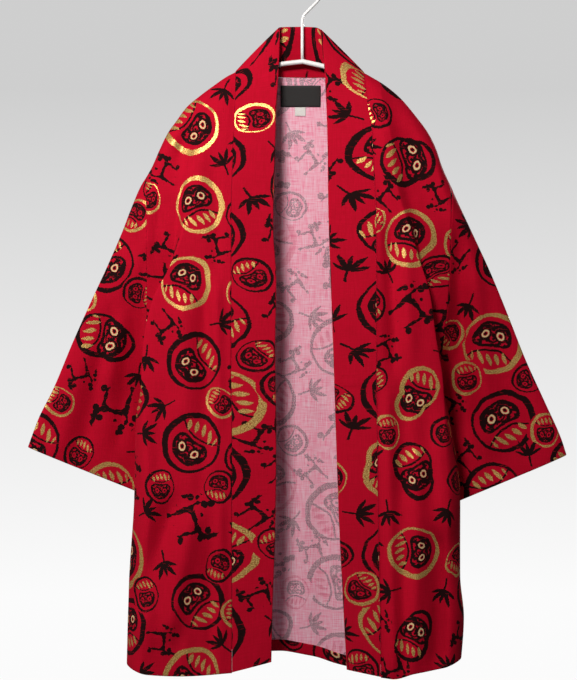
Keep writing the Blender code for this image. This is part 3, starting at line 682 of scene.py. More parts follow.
# %% Material helpers
def linear(hex_colour):
    """sRGB hex to linear RGBA."""
    parts = np.array([int(hex_colour[i:i + 2], 16) for i in (1, 3, 5)]) / 255
    parts = np.where(parts <= 0.04045, parts / 12.92, ((parts + 0.055) / 1.055) ** 2.4)
    return (*parts.tolist(), 1.0)


def add(tree, kind, inputs, **settings):
    """A node of a kind with its settings; an input is a value, a node (its shown output) or None."""
    node = tree.nodes.new("ShaderNode" + kind)
    for name, value in settings.items():
        setattr(node, name, value)
    for key, value in (inputs.items() if isinstance(inputs, dict) else enumerate(inputs)):
        if isinstance(value, bpy.types.Node):
            value = next(output for output in value.outputs if output.enabled)
        if isinstance(value, bpy.types.NodeSocket):
            tree.links.new(value, node.inputs[key])
        elif value is not None:
            node.inputs[key].default_value = value
    return node


def new_material(name):
    """(material, its node tree, its Principled shader)."""
    material = bpy.data.materials.new(name)
    material.use_nodes = True
    tree = material.node_tree
    return material, tree, tree.nodes["Principled BSDF"]


# %% [markdown]
# The print is brush-drawn: round tumbler dolls inside a single brush circle, scattered and turned
# every way, with bamboo sprigs and plum blossom between them. It is worked out from the flat
# cloth's own coordinates. A slanting lattice gives each motif a cell; random numbers from the cell
# move, turn and resize it. The two hollows between each three dolls hold the small motifs.

# %% The lattice of the print
CELL = 0.104  # metres between neighbouring dolls
SLANT = 0.618  # how far each column of the lattice is shifted against the last
DOLL_RADIUS = 0.43  # in cells, with its brush circle
SMALL_RADIUS = 0.235


def lattice(tree, place, offset, jitter):
    """(place in its own turned axes, three random numbers as a colour) of the nearest motif."""
    moved = add(tree, "VectorMath", (place, (offset[0], offset[1], 0)), operation="SUBTRACT")
    axes = add(tree, "SeparateXYZ", (moved,))
    column = add(tree, "Math", (axes.outputs[0],), operation="FLOOR")
    slid = add(tree, "Math", (column, SLANT, axes.outputs[1]), operation="MULTIPLY_ADD")
    row = add(tree, "Math", (slid,), operation="FLOOR")
    cell = add(tree, "CombineXYZ", (column, row, offset[0] * 7))
    x = add(tree, "Math", (axes.outputs[0], column), operation="SUBTRACT")
    y = add(tree, "Math", (slid, row), operation="SUBTRACT")
    inside = add(tree, "CombineXYZ", (x, y, 0.0))
    first = add(tree, "TexWhiteNoise", {"Vector": cell}, noise_dimensions="3D")
    shifted = add(tree, "VectorMath", (cell, (17.3, 5.1, 2.7)), operation="ADD")
    second = add(tree, "TexWhiteNoise", {"Vector": shifted}, noise_dimensions="3D")
    shake = add(tree, "VectorMath", (first.outputs["Color"], (jitter, jitter, 0), (0.5 - jitter / 2,) * 3),
                operation="MULTIPLY_ADD")
    centred = add(tree, "VectorMath", (inside, shake), operation="SUBTRACT")
    angle = add(tree, "Math", (first.outputs["Value"], 2 * np.pi), operation="MULTIPLY")
    flat = add(tree, "VectorMath", (centred, (1, 1, 0)), operation="MULTIPLY")
    turned = add(tree, "VectorRotate", {"Vector": flat, "Angle": angle}, rotation_type="Z_AXIS")
    return turned, second.outputs["Color"]


# %% [markdown]
# A doll is drawn from a few brush marks: its outline, either one circle or a round head on a round
# body, thicker on one side; a bean-shaped face panel lined in black; ring eyes; brows; a mouth; and
# a fan of belly strokes. Each mark is a distance compared with a width.

# %% The doll
def doll(tree, place, picks, is_small):
    """(black, gold, eye) marks at a place, in units of the doll's radius; picks vary it."""
    stretch = add(tree, "Math", (picks.outputs[0], 0.26, 0.96), operation="MULTIPLY_ADD")
    stretch = add(tree, "CombineXYZ", (stretch, 1.0, 1.0))
    place = add(tree, "VectorMath", (place, stretch), operation="MULTIPLY")
    axes = add(tree, "SeparateXYZ", (place,))
    x, y = axes.outputs[0], axes.outputs[1]
    wide = add(tree, "Math", (x,), operation="ABSOLUTE")
    bent = add(tree, "Math", (x, x), operation="MULTIPLY")
    rounds = []
    for middle, radius in (((0.03, -0.02, 0), 0.88), ((0, -0.20, 0), 0.66), ((0.08, 0.36, 0), 0.52)):
        way = add(tree, "VectorMath", (place, middle), operation="SUBTRACT")
        way = add(tree, "VectorMath", (way,), operation="LENGTH")
        rounds.append(add(tree, "Math", (way, radius), operation="SUBTRACT"))
    ball, body, head = rounds
    figure = add(tree, "Math", (body, head), operation="MINIMUM")
    two_rounds = add(tree, "Math", (picks.outputs[2], is_small), operation="ADD")
    two_rounds = add(tree, "Math", (two_rounds, 0.24), operation="LESS_THAN")
    edge = add(tree, "Mix", {0: two_rounds, 2: ball, 3: figure}, data_type="FLOAT")
    off = add(tree, "Math", (edge,), operation="ABSOLUTE")
    brush = add(tree, "Math", (x, 0.034, 0.066), operation="MULTIPLY_ADD")
    circle = add(tree, "Math", (off, brush), operation="LESS_THAN")
    up = add(tree, "Math", (bent, 0.45, -0.26), operation="MULTIPLY_ADD")
    up = add(tree, "Math", (y, up), operation="ADD")
    past = add(tree, "Math", (wide, 0.24), operation="SUBTRACT")
    past_lobe = add(tree, "Math", (past, 0.0), operation="MAXIMUM")
    lobe = add(tree, "CombineXYZ", (past_lobe, up, 0.0))
    lobe = add(tree, "VectorMath", (lobe,), operation="LENGTH")
    face = add(tree, "Math", (lobe, 0.34), operation="SUBTRACT")
    rim = add(tree, "Math", (face, 0.0, 0.042), operation="COMPARE")
    eye_place = add(tree, "CombineXYZ", (past, up, 0.0))
    eye = add(tree, "VectorMath", (eye_place,), operation="LENGTH")
    pupil = add(tree, "Math", (eye, 0.05), operation="LESS_THAN")
    ring = add(tree, "Math", (eye, 0.10, 0.024), operation="COMPARE")
    socket = add(tree, "Math", (eye, 0.17, 0.034), operation="COMPARE")
    above = add(tree, "Math", (up, 0.09), operation="GREATER_THAN")
    brow = add(tree, "Math", (eye, 0.26, 0.045), operation="COMPARE")
    brow = add(tree, "Math", (brow, above), operation="MULTIPLY")
    chin = add(tree, "Math", (up, 0.04), operation="ADD")
    chin = add(tree, "CombineXYZ", (x, chin, 0.0))
    chin = add(tree, "VectorMath", (chin,), operation="LENGTH")
    mouth = add(tree, "Math", (chin, 0.19, 0.026), operation="COMPARE")
    below = add(tree, "Math", (up, -0.12), operation="LESS_THAN")
    mouth = add(tree, "Math", (mouth, below), operation="MULTIPLY")
    scumble = add(tree, "TexNoise", {"Vector": place, "Scale": 6.5, "Detail": 2.0})
    patches = add(tree, "Math", (scumble, 0.495), operation="GREATER_THAN")
    within = add(tree, "Math", (face, -0.03), operation="LESS_THAN")
    no_eye = add(tree, "Math", (eye, 0.13), operation="GREATER_THAN")
    patches = add(tree, "Math", (patches, within), operation="MULTIPLY")
    patches = add(tree, "Math", (patches, no_eye), operation="MULTIPLY")
    robe = add(tree, "Math", (bent, 0.55, 0.22), operation="MULTIPLY_ADD")
    robe = add(tree, "Math", (y, robe), operation="ADD")
    robe = add(tree, "Math", (robe, 0.0, 0.034), operation="COMPARE")
    inside = add(tree, "Math", (edge, 0.0), operation="LESS_THAN")
    robe = add(tree, "Math", (robe, inside), operation="MULTIPLY")
    large_eye = add(tree, "Math", (1.0, is_small), operation="SUBTRACT")
    ring = add(tree, "Math", (ring, large_eye), operation="MULTIPLY")
    black = rim
    for mark in (pupil, socket, brow, mouth, patches, robe):
        black = add(tree, "Math", (black, mark), operation="MAXIMUM")
    lean = add(tree, "Math", (y, 0.45, x), operation="MULTIPLY_ADD")
    near_stroke = add(tree, "Math", (lean, 0.13), operation="PINGPONG")
    reach = add(tree, "Math", (bent, -0.42, 0.53), operation="MULTIPLY_ADD")
    reach = add(tree, "Math", (y, reach), operation="ADD")
    reach = add(tree, "Math", (reach, 1 / 0.19), operation="MULTIPLY")
    reach = add(tree, "Math", (reach, reach), operation="MULTIPLY")
    width = add(tree, "Math", (reach, -0.075, 0.075), operation="MULTIPLY_ADD")
    strokes = add(tree, "Math", (near_stroke, width), operation="LESS_THAN")
    middle = add(tree, "Math", (wide, 0.57), operation="LESS_THAN")
    strokes = add(tree, "Math", (strokes, middle), operation="MULTIPLY")
    is_gold = add(tree, "Math", (picks.outputs[1], 0.62), operation="GREATER_THAN")
    gold_circle = add(tree, "Math", (circle, is_gold), operation="MULTIPLY")
    gold = add(tree, "Math", (strokes, gold_circle), operation="MAXIMUM")
    black_circle = add(tree, "Math", (circle, is_gold), operation="SUBTRACT")
    black = add(tree, "Math", (black, black_circle), operation="MAXIMUM")
    return black, gold, ring


# %% [markdown]
# Between the dolls lie small marks in black only: a sprig of five bamboo leaves, or a plum twig
# with dabs of blossom. Now and then a twig as large as a doll takes a doll's place.

# %% Sprigs and twigs
def sprig(tree, place):
    """Five leaves: lenses along the stem's axis and turned 0.55 and 1.12 radians to either side."""
    axes = add(tree, "SeparateXYZ", (place,))
    wide = add(tree, "Math", (axes.outputs[0],), operation="ABSOLUTE")
    folded = add(tree, "CombineXYZ", (wide, axes.outputs[1], 0.0))
    down = add(tree, "Math", (axes.outputs[1], -0.25, 0.35), operation="COMPARE")
    stem = add(tree, "Math", (wide, 0.05), operation="LESS_THAN")
    leaves = add(tree, "Math", (stem, down), operation="MULTIPLY")
    for turn, length, girth in ((0.0, 0.40, 0.10), (0.55, 0.50, 0.12), (1.12, 0.40, 0.09)):
        leaf = add(tree, "VectorRotate", {"Vector": folded, "Angle": turn}, rotation_type="Z_AXIS")
        leaf = add(tree, "SeparateXYZ", (leaf,))
        reach = add(tree, "Math", (leaf.outputs[1], 1 / length, -1.05), operation="MULTIPLY_ADD")
        reach = add(tree, "Math", (reach, reach), operation="MULTIPLY")
        width = add(tree, "Math", (reach, -girth, girth), operation="MULTIPLY_ADD")
        aside = add(tree, "Math", (leaf.outputs[0],), operation="ABSOLUTE")
        mark = add(tree, "Math", (aside, width), operation="LESS_THAN")
        leaves = add(tree, "Math", (leaves, mark), operation="MAXIMUM")
    return leaves


def twig(tree, place):
    """A twig that swings like a sine, a shorter one across it, and dabs of blossom beside them."""
    axes = add(tree, "SeparateXYZ", (place,))
    x, y = axes.outputs[0], axes.outputs[1]
    press = add(tree, "TexNoise", {"Vector": place, "Scale": 3.0, "Detail": 1.0})
    thick = add(tree, "Math", (press, 0.34, -0.085), operation="MULTIPLY_ADD")
    marks = []
    for run, rise, pace, swing, length in ((x, y, 3.9, 0.28, 0.98), (y, x, 5.2, 0.24, 0.72)):
        bend = add(tree, "Math", (run, pace, 0.6), operation="MULTIPLY_ADD")
        bend = add(tree, "Math", (bend,), operation="SINE")
        away = add(tree, "Math", (bend, swing, rise), operation="MULTIPLY_ADD")
        line = add(tree, "Math", (away, 0.0, thick), operation="COMPARE")
        ends = add(tree, "Math", (run, 0.0, length), operation="COMPARE")
        marks.append(add(tree, "Math", (line, ends), operation="MULTIPLY"))
    dabs = add(tree, "TexVoronoi", {"Vector": place, "Scale": 2.9})
    dabs = add(tree, "Math", (dabs, 0.37), operation="LESS_THAN")
    near = add(tree, "Math", (away, 0.0, 0.60), operation="COMPARE")
    out = add(tree, "VectorMath", (place,), operation="LENGTH")
    inside = add(tree, "Math", (out, 0.98), operation="LESS_THAN")
    dabs = add(tree, "Math", (dabs, near), operation="MULTIPLY")
    dabs = add(tree, "Math", (dabs, inside), operation="MULTIPLY")
    lines = add(tree, "Math", marks, operation="MAXIMUM")
    return add(tree, "Math", (lines, dabs), operation="MAXIMUM")


# %% [markdown]
# The whole print lays these marks out on the flat cloth. One lattice carries the large dolls, and
# two more between its cells carry small dolls, leaf sprigs and twigs. Chance picks what each cell
# holds, and a little noise shakes the edges, as a brush on cotton does.

# %% The whole print
def brush_print(tree):
    """(black, gold, eye, place): the marks of the print at each place of the flat cloth."""
    flat = add(tree, "UVMap", (), uv_map="flat cloth")
    place = add(tree, "VectorMath", (flat, (1 / CELL, 1 / CELL, 0)), operation="MULTIPLY")
    for scale, much in ((620.0, 0.022), (45.0, 0.05)):
        shake = add(tree, "TexNoise", {"Vector": flat, "Scale": scale, "Detail": 1.0})
        shake = add(tree, "VectorMath", (shake.outputs["Color"], (much,) * 3, (-much / 2,) * 3),
                    operation="MULTIPLY_ADD")
        place = add(tree, "VectorMath", (place, shake), operation="ADD")
    large, picks = lattice(tree, place, (0.0, 0.0), 0.16)
    near, near_picks = lattice(tree, place, (0.382, 0.5), 0.07)
    far, far_picks = lattice(tree, place, (0.618, 0.882), 0.07)
    near_way = add(tree, "VectorMath", (near,), operation="LENGTH")
    far_way = add(tree, "VectorMath", (far,), operation="LENGTH")
    nearer = add(tree, "Math", (far_way, near_way), operation="LESS_THAN")
    small = add(tree, "Mix", {0: nearer, 4: near, 5: far}, data_type="VECTOR")
    small_picks = add(tree, "Mix", {0: nearer, 4: near_picks, 5: far_picks}, data_type="VECTOR")
    small_parts = add(tree, "SeparateXYZ", (small_picks,))
    large_parts = add(tree, "SeparateXYZ", (picks,))
    size = add(tree, "Math", (large_parts.outputs[0], -0.075, DOLL_RADIUS), operation="MULTIPLY_ADD")
    size = add(tree, "Math", (1.0, size), operation="DIVIDE")
    large = add(tree, "VectorMath", {0: large, "Scale": size}, operation="SCALE")
    small = add(tree, "VectorMath", {0: small, "Scale": 1 / SMALL_RADIUS}, operation="SCALE")
    small_way = add(tree, "VectorMath", (small,), operation="LENGTH")
    large_way = add(tree, "VectorMath", (large,), operation="LENGTH")
    is_doll = add(tree, "Math", (small_parts.outputs[0], 0.70), operation="GREATER_THAN")
    in_small = add(tree, "Math", (small_way, 1.0), operation="LESS_THAN")
    in_small = add(tree, "Math", (in_small, is_doll), operation="MULTIPLY")
    is_bough = add(tree, "Math", (large_parts.outputs[0], 0.80), operation="GREATER_THAN")
    in_large = add(tree, "Math", (large_way, 1.0), operation="LESS_THAN")
    bough = add(tree, "Math", (is_bough, in_large), operation="MULTIPLY")
    chosen = add(tree, "Mix", {0: in_small, 4: large, 5: small}, data_type="VECTOR")
    chosen_picks = add(tree, "Mix", {0: in_small, 4: picks, 5: small_picks}, data_type="VECTOR")
    black, gold, ring = doll(tree, chosen, add(tree, "SeparateXYZ", (chosen_picks,)), in_small)
    no_bough = add(tree, "Math", (1.0, is_bough), operation="SUBTRACT")
    shown = add(tree, "Math", (no_bough, in_small), operation="MAXIMUM")
    black, gold, ring = (add(tree, "Math", (mark, shown), operation="MULTIPLY")
                         for mark in (black, gold, ring))
    twig_place = add(tree, "Mix", {0: bough, 4: small, 5: large}, data_type="VECTOR")
    twigs, leaves = twig(tree, twig_place), sprig(tree, small)
    is_sprig = add(tree, "Math", (small_parts.outputs[2], 0.5), operation="GREATER_THAN")
    no_doll = add(tree, "Math", (1.0, is_doll), operation="SUBTRACT")
    small_mark = add(tree, "Mix", {0: is_sprig, 2: twigs, 3: leaves}, data_type="FLOAT")
    small_mark = add(tree, "Math", (small_mark, no_doll), operation="MULTIPLY")
    filler = add(tree, "Mix", {0: bough, 2: small_mark, 3: twigs}, data_type="FLOAT")
    black = add(tree, "Math", (black, filler), operation="MAXIMUM")
    return black, gold, ring, flat


# %% [markdown]
# The cloth is slubby cotton, woven of uneven yarns and dyed red, with the black and gold printed
# on one side. The outside is a matt, saturated red; the gold is a metallic pigment that sits on
# the threads and breaks up into specks. The reverse is pink where the dye hasn't gone through,
# with the black ghosted in grey, and there the thick and thin yarns show best.

# %% Printed cotton, both sides
YARN = 1 / 0.0011  # yarns to the metre; real ones are twice as fine, too fine for the picture


def yarns(tree, flat):
    """(weft, warp) streaks: noise drawn out along each yarn's direction."""
    streaks = []
    for stretch in ((0.055, 1.0, 1.0), (1.0, 0.045, 1.0)):
        stretched = add(tree, "VectorMath", (flat, stretch), operation="MULTIPLY")
        streaks.append(add(tree, "TexNoise", {"Vector": stretched, "Scale": YARN, "Detail": 2.0,
                                              "Roughness": 0.6}))
    return streaks


def weave_bump(tree, shader, streaks, depth):
    """A bump from the sum of both yarn directions."""
    height = add(tree, "Math", streaks, operation="ADD")
    bump = add(tree, "Bump", {"Height": height, "Strength": depth, "Distance": 0.0004})
    tree.links.new(bump.outputs[0], shader.inputs["Normal"])


def printed_right_side():
    material, tree, shader = new_material("red printed slub cotton")
    black, gold, ring, flat = brush_print(tree)
    weft, warp = yarns(tree, flat)
    tone = add(tree, "Math", (weft, warp), operation="MULTIPLY")
    tone = add(tree, "MapRange", {"Value": tone, "From Min": 0.12, "From Max": 0.40})
    red = add(tree, "MixRGB", (tone, linear("#AC001F"), linear("#BC0027")))
    speck = add(tree, "TexNoise", {"Vector": flat, "Scale": 800.0, "Detail": 2.0})
    shade = add(tree, "MapRange", {"Value": speck, "From Min": 0.35, "From Max": 0.65})
    metal = add(tree, "MixRGB", (shade, linear("#8A5A24"), linear("#F0CC7C")))
    worn = add(tree, "Math", (speck, 0.36), operation="GREATER_THAN")
    gold = add(tree, "Math", (gold, worn), operation="MULTIPLY")
    dry = add(tree, "Math", (weft, 0.33), operation="GREATER_THAN")
    black = add(tree, "Math", (black, dry), operation="MULTIPLY")
    colour = add(tree, "MixRGB", (black, red, linear("#1A0506")))
    colour = add(tree, "MixRGB", (gold, colour, metal))
    colour = add(tree, "MixRGB", (ring, colour, linear("#D2BC8C")))
    shine = add(tree, "Math", (gold, 0.55), operation="MULTIPLY")
    rough = add(tree, "MixRGB", (gold, (0.86,) * 3 + (1,), (0.42,) * 3 + (1,)))
    tree.links.new(colour.outputs[0], shader.inputs["Base Color"])
    tree.links.new(shine.outputs[0], shader.inputs["Metallic"])
    tree.links.new(rough.outputs[0], shader.inputs["Roughness"])
    shader.inputs["Specular IOR Level"].default_value = 0.12
    shader.inputs["Sheen Weight"].default_value = 0.05
    shader.inputs["Sheen Roughness"].default_value = 0.5
    shader.inputs["Sheen Tint"].default_value = linear("#FF3048")
    weave_bump(tree, shader, (weft, warp), 0.35)
    return material


def printed_reverse():
    material, tree, shader = new_material("pink reverse of the cotton")
    black, gold, ring, flat = brush_print(tree)
    weft, warp = yarns(tree, flat)
    tone = add(tree, "Math", (weft, warp), operation="ADD")
    tone = add(tree, "MapRange", {"Value": tone, "From Min": 0.75, "From Max": 1.25})
    pink = add(tree, "MixRGB", (tone, linear("#F68CAE"), linear("#FFD8E6")))
    ghost = add(tree, "MixRGB", (tone, linear("#7C6670"), linear("#C4A6B0")))
    deep = add(tree, "MixRGB", (tone, linear("#D8577C"), linear("#F5A2B8")))
    through = add(tree, "TexNoise", {"Vector": flat, "Scale": 700.0, "Detail": 2.0})
    through = add(tree, "MapRange", {"Value": through, "From Min": 0.30, "From Max": 0.55})
    black = add(tree, "Math", (black, through), operation="MULTIPLY")
    gold = add(tree, "Math", (gold, 0.55), operation="MULTIPLY")
    colour = add(tree, "MixRGB", (gold, pink, deep))
    colour = add(tree, "MixRGB", (black, colour, ghost))
    tree.links.new(colour.outputs[0], shader.inputs["Base Color"])
    shader.inputs["Roughness"].default_value = 0.9
    shader.inputs["Specular IOR Level"].default_value = 0.2
    shader.inputs["Sheen Weight"].default_value = 0.08
    weave_bump(tree, shader, (weft, warp), 0.6)
    return material


red_side, pink_side = printed_right_side(), printed_reverse()
print("print nodes", len(red_side.node_tree.nodes), len(pink_side.node_tree.nodes))


# %% [markdown]
# Each panel's grid now becomes a sheet with its print and its turned-up hem. A grid that runs the
# other way is reversed first, so that the red side faces out. The collar is one strip, folded
# over, so only its red side shows.

# %% Make the cloth pieces
BOTH = (red_side, pink_side)
NECK_MIDDLE = back.shape[1] // 2
pieces = {}
for side in (LEFT, RIGHT):
    name = f"front_{SIDES[side]}"
    grid = fronts[side][:, ::-1] if side == LEFT else fronts[side]
    start = grid.shape[1] - 1 if side == LEFT else 0
    flat = panel_flat(grid, start) + np.array([310.0 * side, 0.0])
    pieces[name] = cloth(name + "_cloth", *with_hem(grid, flat), False, BOTH)
grid = back[:, ::-1]
pieces["back"] = cloth("back_cloth", *with_hem(grid, panel_flat(grid, NECK_MIDDLE)), False, BOTH)
for side in (LEFT, RIGHT):
    name = f"sleeve_{SIDES[side]}"
    grid, flat = sleeves[side], sleeve_flat(side, sleeves[side].shape[1], along)
    if side == RIGHT:
        grid, flat = grid[:, ::-1], flat[:, ::-1]
    pieces[name] = cloth(name + "_cloth", *with_hem(grid, flat, ring=True), True, BOTH)
length = np.cumsum(np.concatenate([[0], np.linalg.norm(np.diff((seam + edge) / 2, axis=0), axis=1)]))
round_band = np.linspace(0, 2 * COLLAR_WIDTH, collar.shape[1])
collar_flat = np.stack(np.meshgrid(round_band + 900, length), axis=-1)
pieces["collar"] = cloth("collar_cloth", collar, collar_flat, False, (red_side,), thick=0)
for name, piece in pieces.items():
    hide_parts(name)
print("cloth pieces", len(pieces))


# %% [markdown]


# %% [markdown]
# A small black woven label is sewn inside the neck, with a white tag under its lower edge. Both
# are left bare. They are thin plates that follow the back, a little proud of it, with rounded
# edges, a damask weave and a sewn border.

# %% Neck label and size tag
def woven(name, ground, thread, threads_per_metre):
    """A woven ribbon: fine ribs across it over a fine grain."""
    material, tree, shader = new_material(name)
    flat = add(tree, "UVMap", (), uv_map="flat cloth")
    axes = add(tree, "SeparateXYZ", (flat,))
    ribs = add(tree, "Math", (axes.outputs[1], threads_per_metre * 2 * np.pi), operation="MULTIPLY")
    ribs = add(tree, "Math", (ribs,), operation="SINE")
    grain = add(tree, "TexNoise", {"Vector": flat, "Scale": 900.0, "Detail": 2.0})
    mixed = add(tree, "Math", (ribs, 0.25, grain), operation="MULTIPLY_ADD")
    colour = add(tree, "MixRGB", (mixed, linear(ground), linear(thread)))
    tree.links.new(colour.outputs[0], shader.inputs["Base Color"])
    shader.inputs["Roughness"].default_value = 0.6
    bump = add(tree, "Bump", {"Height": mixed, "Strength": 0.4, "Distance": 0.0003})
    tree.links.new(bump.outputs[0], shader.inputs["Normal"])
    return material


def patch_grid(left, right, top, bottom, lift, round_by):
    """A plate over the back's inside: its rim bends towards the cloth over round_by."""
    x, drop = np.meshgrid(np.linspace(left, right, 61), np.linspace(top, bottom, 37))
    neck = [float(shoulder_point(side, 0.0)[0]) for side in (LEFT, RIGHT)]
    share = (x[0] + neck[0]) / sum(neck)
    column = back_middle(share, rows)
    behind = np.stack([np.interp(drop[:, 0], -column[:, k, 2], column[:, k, 1])
                       for k in range(column.shape[1])], axis=1)
    from_rim = np.minimum(np.minimum(x - left, right - x), np.minimum(drop - top, bottom - drop))
    proud = lift * (0.45 + 0.55 * rounded_rim(from_rim / round_by))
    sewn = 0.18 * np.exp(-((from_rim - 1.6) / 0.5) ** 2)
    return np.stack([x, behind - proud + sewn, -drop], axis=-1)


def rounded_rim(share):
    return np.sqrt(1 - (1 - np.clip(share, 0, 1)) ** 2)


PATCHES = {
    "neck_label": ((-29.5, 24.0, 150.0, 178.0, 1.7, 1.0),
                   woven("black damask ribbon", "#050404", "#181516", 1500)),
    "size_tag": ((-10.5, 4.0, 178.6, 190.0, 1.6, 0.8),
                 woven("white satin ribbon", "#D9D8D4", "#F6F5F2", 1500)),
}
for name, (outline, material) in PATCHES.items():
    grid = patch_grid(*outline)
    piece = cloth(name + "_ribbon", grid, grid[..., [0, 2]], False, (material,), thick=0.5)
    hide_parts(name)


# %% [markdown]
# The hanger is a slim white plastic bar with a wire hook. Both are round sections carried along a
# path; the bar's ends are rounded off by letting the section shrink there.

# %% The hanger
HOOK_WIRE, HOOK_BEND, BAR = 4.0, 25.3, 6.4
ARM_REACH, ARM_BELOW_CLOTH, HANGER_TOP = 150.0, 5.6, 119.7
HANGER_ARCH = {LEFT: (30.0, 123.4), RIGHT: (27.0, 125.8)}


def hanger_middle(x):
    """The drop of the bar's middle: an arch in the neck, then just under the shoulder cloth."""
    side = LEFT if x < 0 else RIGHT
    start = SHOULDER[side]["out"][0] + 12
    out = max(abs(x), start)
    before, after = (float(read(SHOULDER[side], "out", "drop", out + step)) for step in (-3, 3))
    under_cloth = (before + after) / 2 + ARM_BELOW_CLOTH * np.hypot(1, (after - before) / 6)
    stops = [HANGER_TOP, HANGER_ARCH[side][1], under_cloth]
    return under_cloth if abs(x) >= start else float(across([0, HANGER_ARCH[side][0], start], stops, abs(x)))


def tube(name, path, radii, material):
    """A circle of the given radius at each point of a flat path in the XZ plane, ends closed."""
    way = unit(np.gradient(path, axis=0))
    side = np.cross(way, [0.0, 1.0, 0.0])
    angle = np.linspace(0, 2 * np.pi, 25)[:-1]
    ring = (np.cos(angle)[None, :, None] * side[:, None]
            + np.sin(angle)[None, :, None] * np.array([0.0, 1.0, 0.0]))
    grid = path[:, None] + ring * radii[:, None, None]
    count, width = grid.shape[:2]
    number = np.arange(count * width).reshape(count, width)
    wide = np.concatenate([number, number[:, :1]], axis=1)
    faces = np.stack([wide[:-1, :-1], wide[:-1, 1:], wide[1:, 1:], wide[1:, :-1]], axis=-1).reshape(-1, 4)
    mesh = bpy.data.meshes.new(name)
    caps = [number[0, ::-1].tolist(), number[-1].tolist()]
    mesh.from_pydata((grid * MM).reshape(-1, 3).tolist(), [], faces.tolist() + caps)
    mesh.shade_smooth()
    mesh.materials.append(material)
    obj = bpy.data.objects.new(name, mesh)
    bpy.context.scene.collection.objects.link(obj)
    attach(obj, "root")
    print(name, "length", round(float(np.linalg.norm(np.diff(path, axis=0), axis=1).sum())), "mm")
    return obj


def gloss_white(name, hex_colour, roughness, grain):
    material, tree, shader = new_material(name)
    place = add(tree, "TexCoord", ())
    noise = add(tree, "TexNoise", {"Vector": place.outputs["Object"], "Scale": grain, "Detail": 3.0})
    tone = add(tree, "MixRGB", (noise, linear(hex_colour), linear("#FFFFFF")))
    bump = add(tree, "Bump", {"Height": noise, "Strength": 0.15, "Distance": 0.0002})
    tree.links.new(tone.outputs[0], shader.inputs["Base Color"])
    tree.links.new(bump.outputs[0], shader.inputs["Normal"])
    shader.inputs["Roughness"].default_value = roughness
    return material


reach = np.linspace(-ARM_REACH, ARM_REACH, 181)
bar_path = np.array([(x, 0.0, -hanger_middle(x)) for x in reach])
bar_radii = BAR / 2 * rounded_rim((ARM_REACH + 0.4 - np.abs(reach)) / 3.0)
bar = tube("hanger_bar", bar_path, bar_radii, gloss_white("white moulded plastic", "#E4E4E6", 0.32, 300))
turns = np.radians(np.linspace(-45, 200, 90))
arc = np.stack([HOOK_BEND * np.cos(turns), 0 * turns,
                HOOK_WIRE / 2 - HOOK_BEND + HOOK_BEND * np.sin(turns)], axis=1)
foot = -hanger_middle(0.0) + BAR / 2 - 0.5
stem = np.array([(-0.7, 0.0, foot), (-0.7, 0.0, foot + 15), (-0.7, 0.0, -69.0), (-0.7, 0, -66.0),
                 (-0.3, 0, -63.2), (0.4, 0.0, -60.5), (1.6, 0, -58.0), (3.0, 0.0, -56.2)])
hook_path = np.concatenate([stem, arc])
hook_radii = HOOK_WIRE / 2 * rounded_rim((len(hook_path) - 0.4 - np.arange(len(hook_path))) / 2.0)
hook = tube("hanger_wire_hook", hook_path, hook_radii, gloss_white("white coated wire", "#DADADC", 0.28, 500))
for piece, node, slot in ((bar, "hanger_arms", "white_plastic"), (hook, "hanger_hook", "white_wire")):
    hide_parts(node)


# %% [markdown]
# The studio is a round pale room, further off than the camera of any view. It glows a little and
# lights nothing: towards the top its tone falls from near white to light grey, as in the picture.
# A soft light above the camera shapes the coat, one from the left draws its folds, and one behind
# it serves the views of the back.

# %% Studio
ROOM, FLOOR, CEILING, SWEEP = 9.0, -3.0, 7.0, 1.5


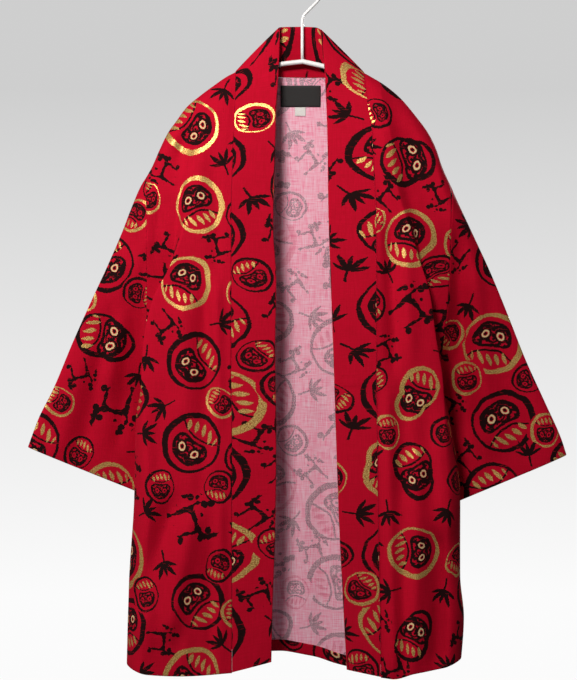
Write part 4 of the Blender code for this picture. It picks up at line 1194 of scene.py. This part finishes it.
def make_room():
    """The profile (floor, quarter circle of radius SWEEP, wall) turned about the Z axis."""
    a = np.linspace(-np.pi / 2, 0, 16)
    r = np.concatenate([[0.02], ROOM - SWEEP + SWEEP * np.cos(a), [ROOM]])[:, None]
    z = np.concatenate([[FLOOR], FLOOR + SWEEP + SWEEP * np.sin(a), [CEILING]])[:, None]
    turn = np.linspace(0, 2 * np.pi, 97)[None, :-1]
    grid = np.stack(np.broadcast_arrays(r * np.cos(turn), r * np.sin(turn), z), axis=-1)
    number = np.arange(grid[..., 0].size).reshape(grid.shape[:2])
    wide = np.concatenate([number, number[:, :1]], axis=1)
    faces = np.stack([wide[:-1, :-1], wide[:-1, 1:], wide[1:, 1:], wide[1:, :-1]], axis=-1)
    mesh = bpy.data.meshes.new("studio_room")
    mesh.from_pydata(grid.reshape(-1, 3).tolist(), [],
                     [number[0, ::-1].tolist()] + faces.reshape(-1, 4).tolist())
    mesh.shade_smooth()
    obj = bpy.data.objects.new("studio_room", mesh)
    bpy.context.scene.collection.objects.link(obj)
    material, tree, shader = new_material("studio wall glow with painted light falloff")
    place = add(tree, "TexCoord", ())
    axes = add(tree, "SeparateXYZ", (place.outputs["Object"],))
    # Painted light: the wall glows, near white at the bottom and falling to light grey towards the top, in
    # place of a lamp washing it.
    height = add(tree, "MapRange", {"Value": axes.outputs[2], "From Min": -1.9, "From Max": 0.9})
    tone = add(tree, "MixRGB", (height, linear("#FBFBFB"), linear("#CECECE")))
    tree.links.new(tone.outputs[0], shader.inputs["Emission Color"])
    shader.inputs["Emission Strength"].default_value = 1.0
    shader.inputs["Base Color"].default_value = (0, 0, 0, 1)
    shader.inputs["Roughness"].default_value = 1.0
    mesh.materials.append(material)
    obj.visible_diffuse = obj.visible_glossy = obj.visible_shadow = False


def area_light(name, place, aim, size, power, colour):
    light = bpy.data.lights.new(name, "AREA")
    light.shape = "DISK"
    light.size = size
    light.energy = power
    light.color = linear(colour)[:3]
    obj = bpy.data.objects.new(name, light)
    obj.location = place
    obj.rotation_euler = (Vector(aim) - Vector(place)).to_track_quat("-Z", "Y").to_euler()
    obj.visible_camera = False
    bpy.context.scene.collection.objects.link(obj)


make_room()
area_light("key", (-0.35, -1.35, 0.45), (0.0, 0.0, -0.35), 0.35, 23.0, "#FFFAF4")
area_light("side", (-1.7, -0.7, 0.2), (0.0, 0.0, -0.45), 0.4, 13.0, "#FFFAF4")
area_light("behind", (0.9, 1.9, 0.1), (0.0, 0.0, -0.45), 0.6, 34.0, "#FFFFFF")
world = bpy.data.worlds.new("studio")
world.use_nodes = True
world.node_tree.nodes["Background"].inputs["Color"].default_value = linear("#F2F4F8")
world.node_tree.nodes["Background"].inputs["Strength"].default_value = 0.13
bpy.context.scene.world = world
bpy.context.scene.view_settings.view_transform = "Standard"


# %% [markdown]
# The camera stands straight in front at the middle of the coat's height. Its distance of 2.8 m
# and its long lens keep the outline nearly free of perspective, as in a catalogue picture.

# %% Camera
DISTANCE, VIEW_HEIGHT = 2.8, 0.9044  # metres, and the height that the picture spans at the coat
camera = bpy.data.objects.new("camera", bpy.data.cameras.new("camera"))
camera.location = (-0.019, -DISTANCE, -0.490)
camera.rotation_euler = (np.pi / 2, 0, 0)
camera.data.sensor_width = 36.0
camera.data.lens = 36.0 * DISTANCE / VIEW_HEIGHT
camera.data.clip_end = 50.0
bpy.context.scene.collection.objects.link(camera)
bpy.context.scene.camera = camera
print("lens", round(camera.data.lens, 1), "mm")
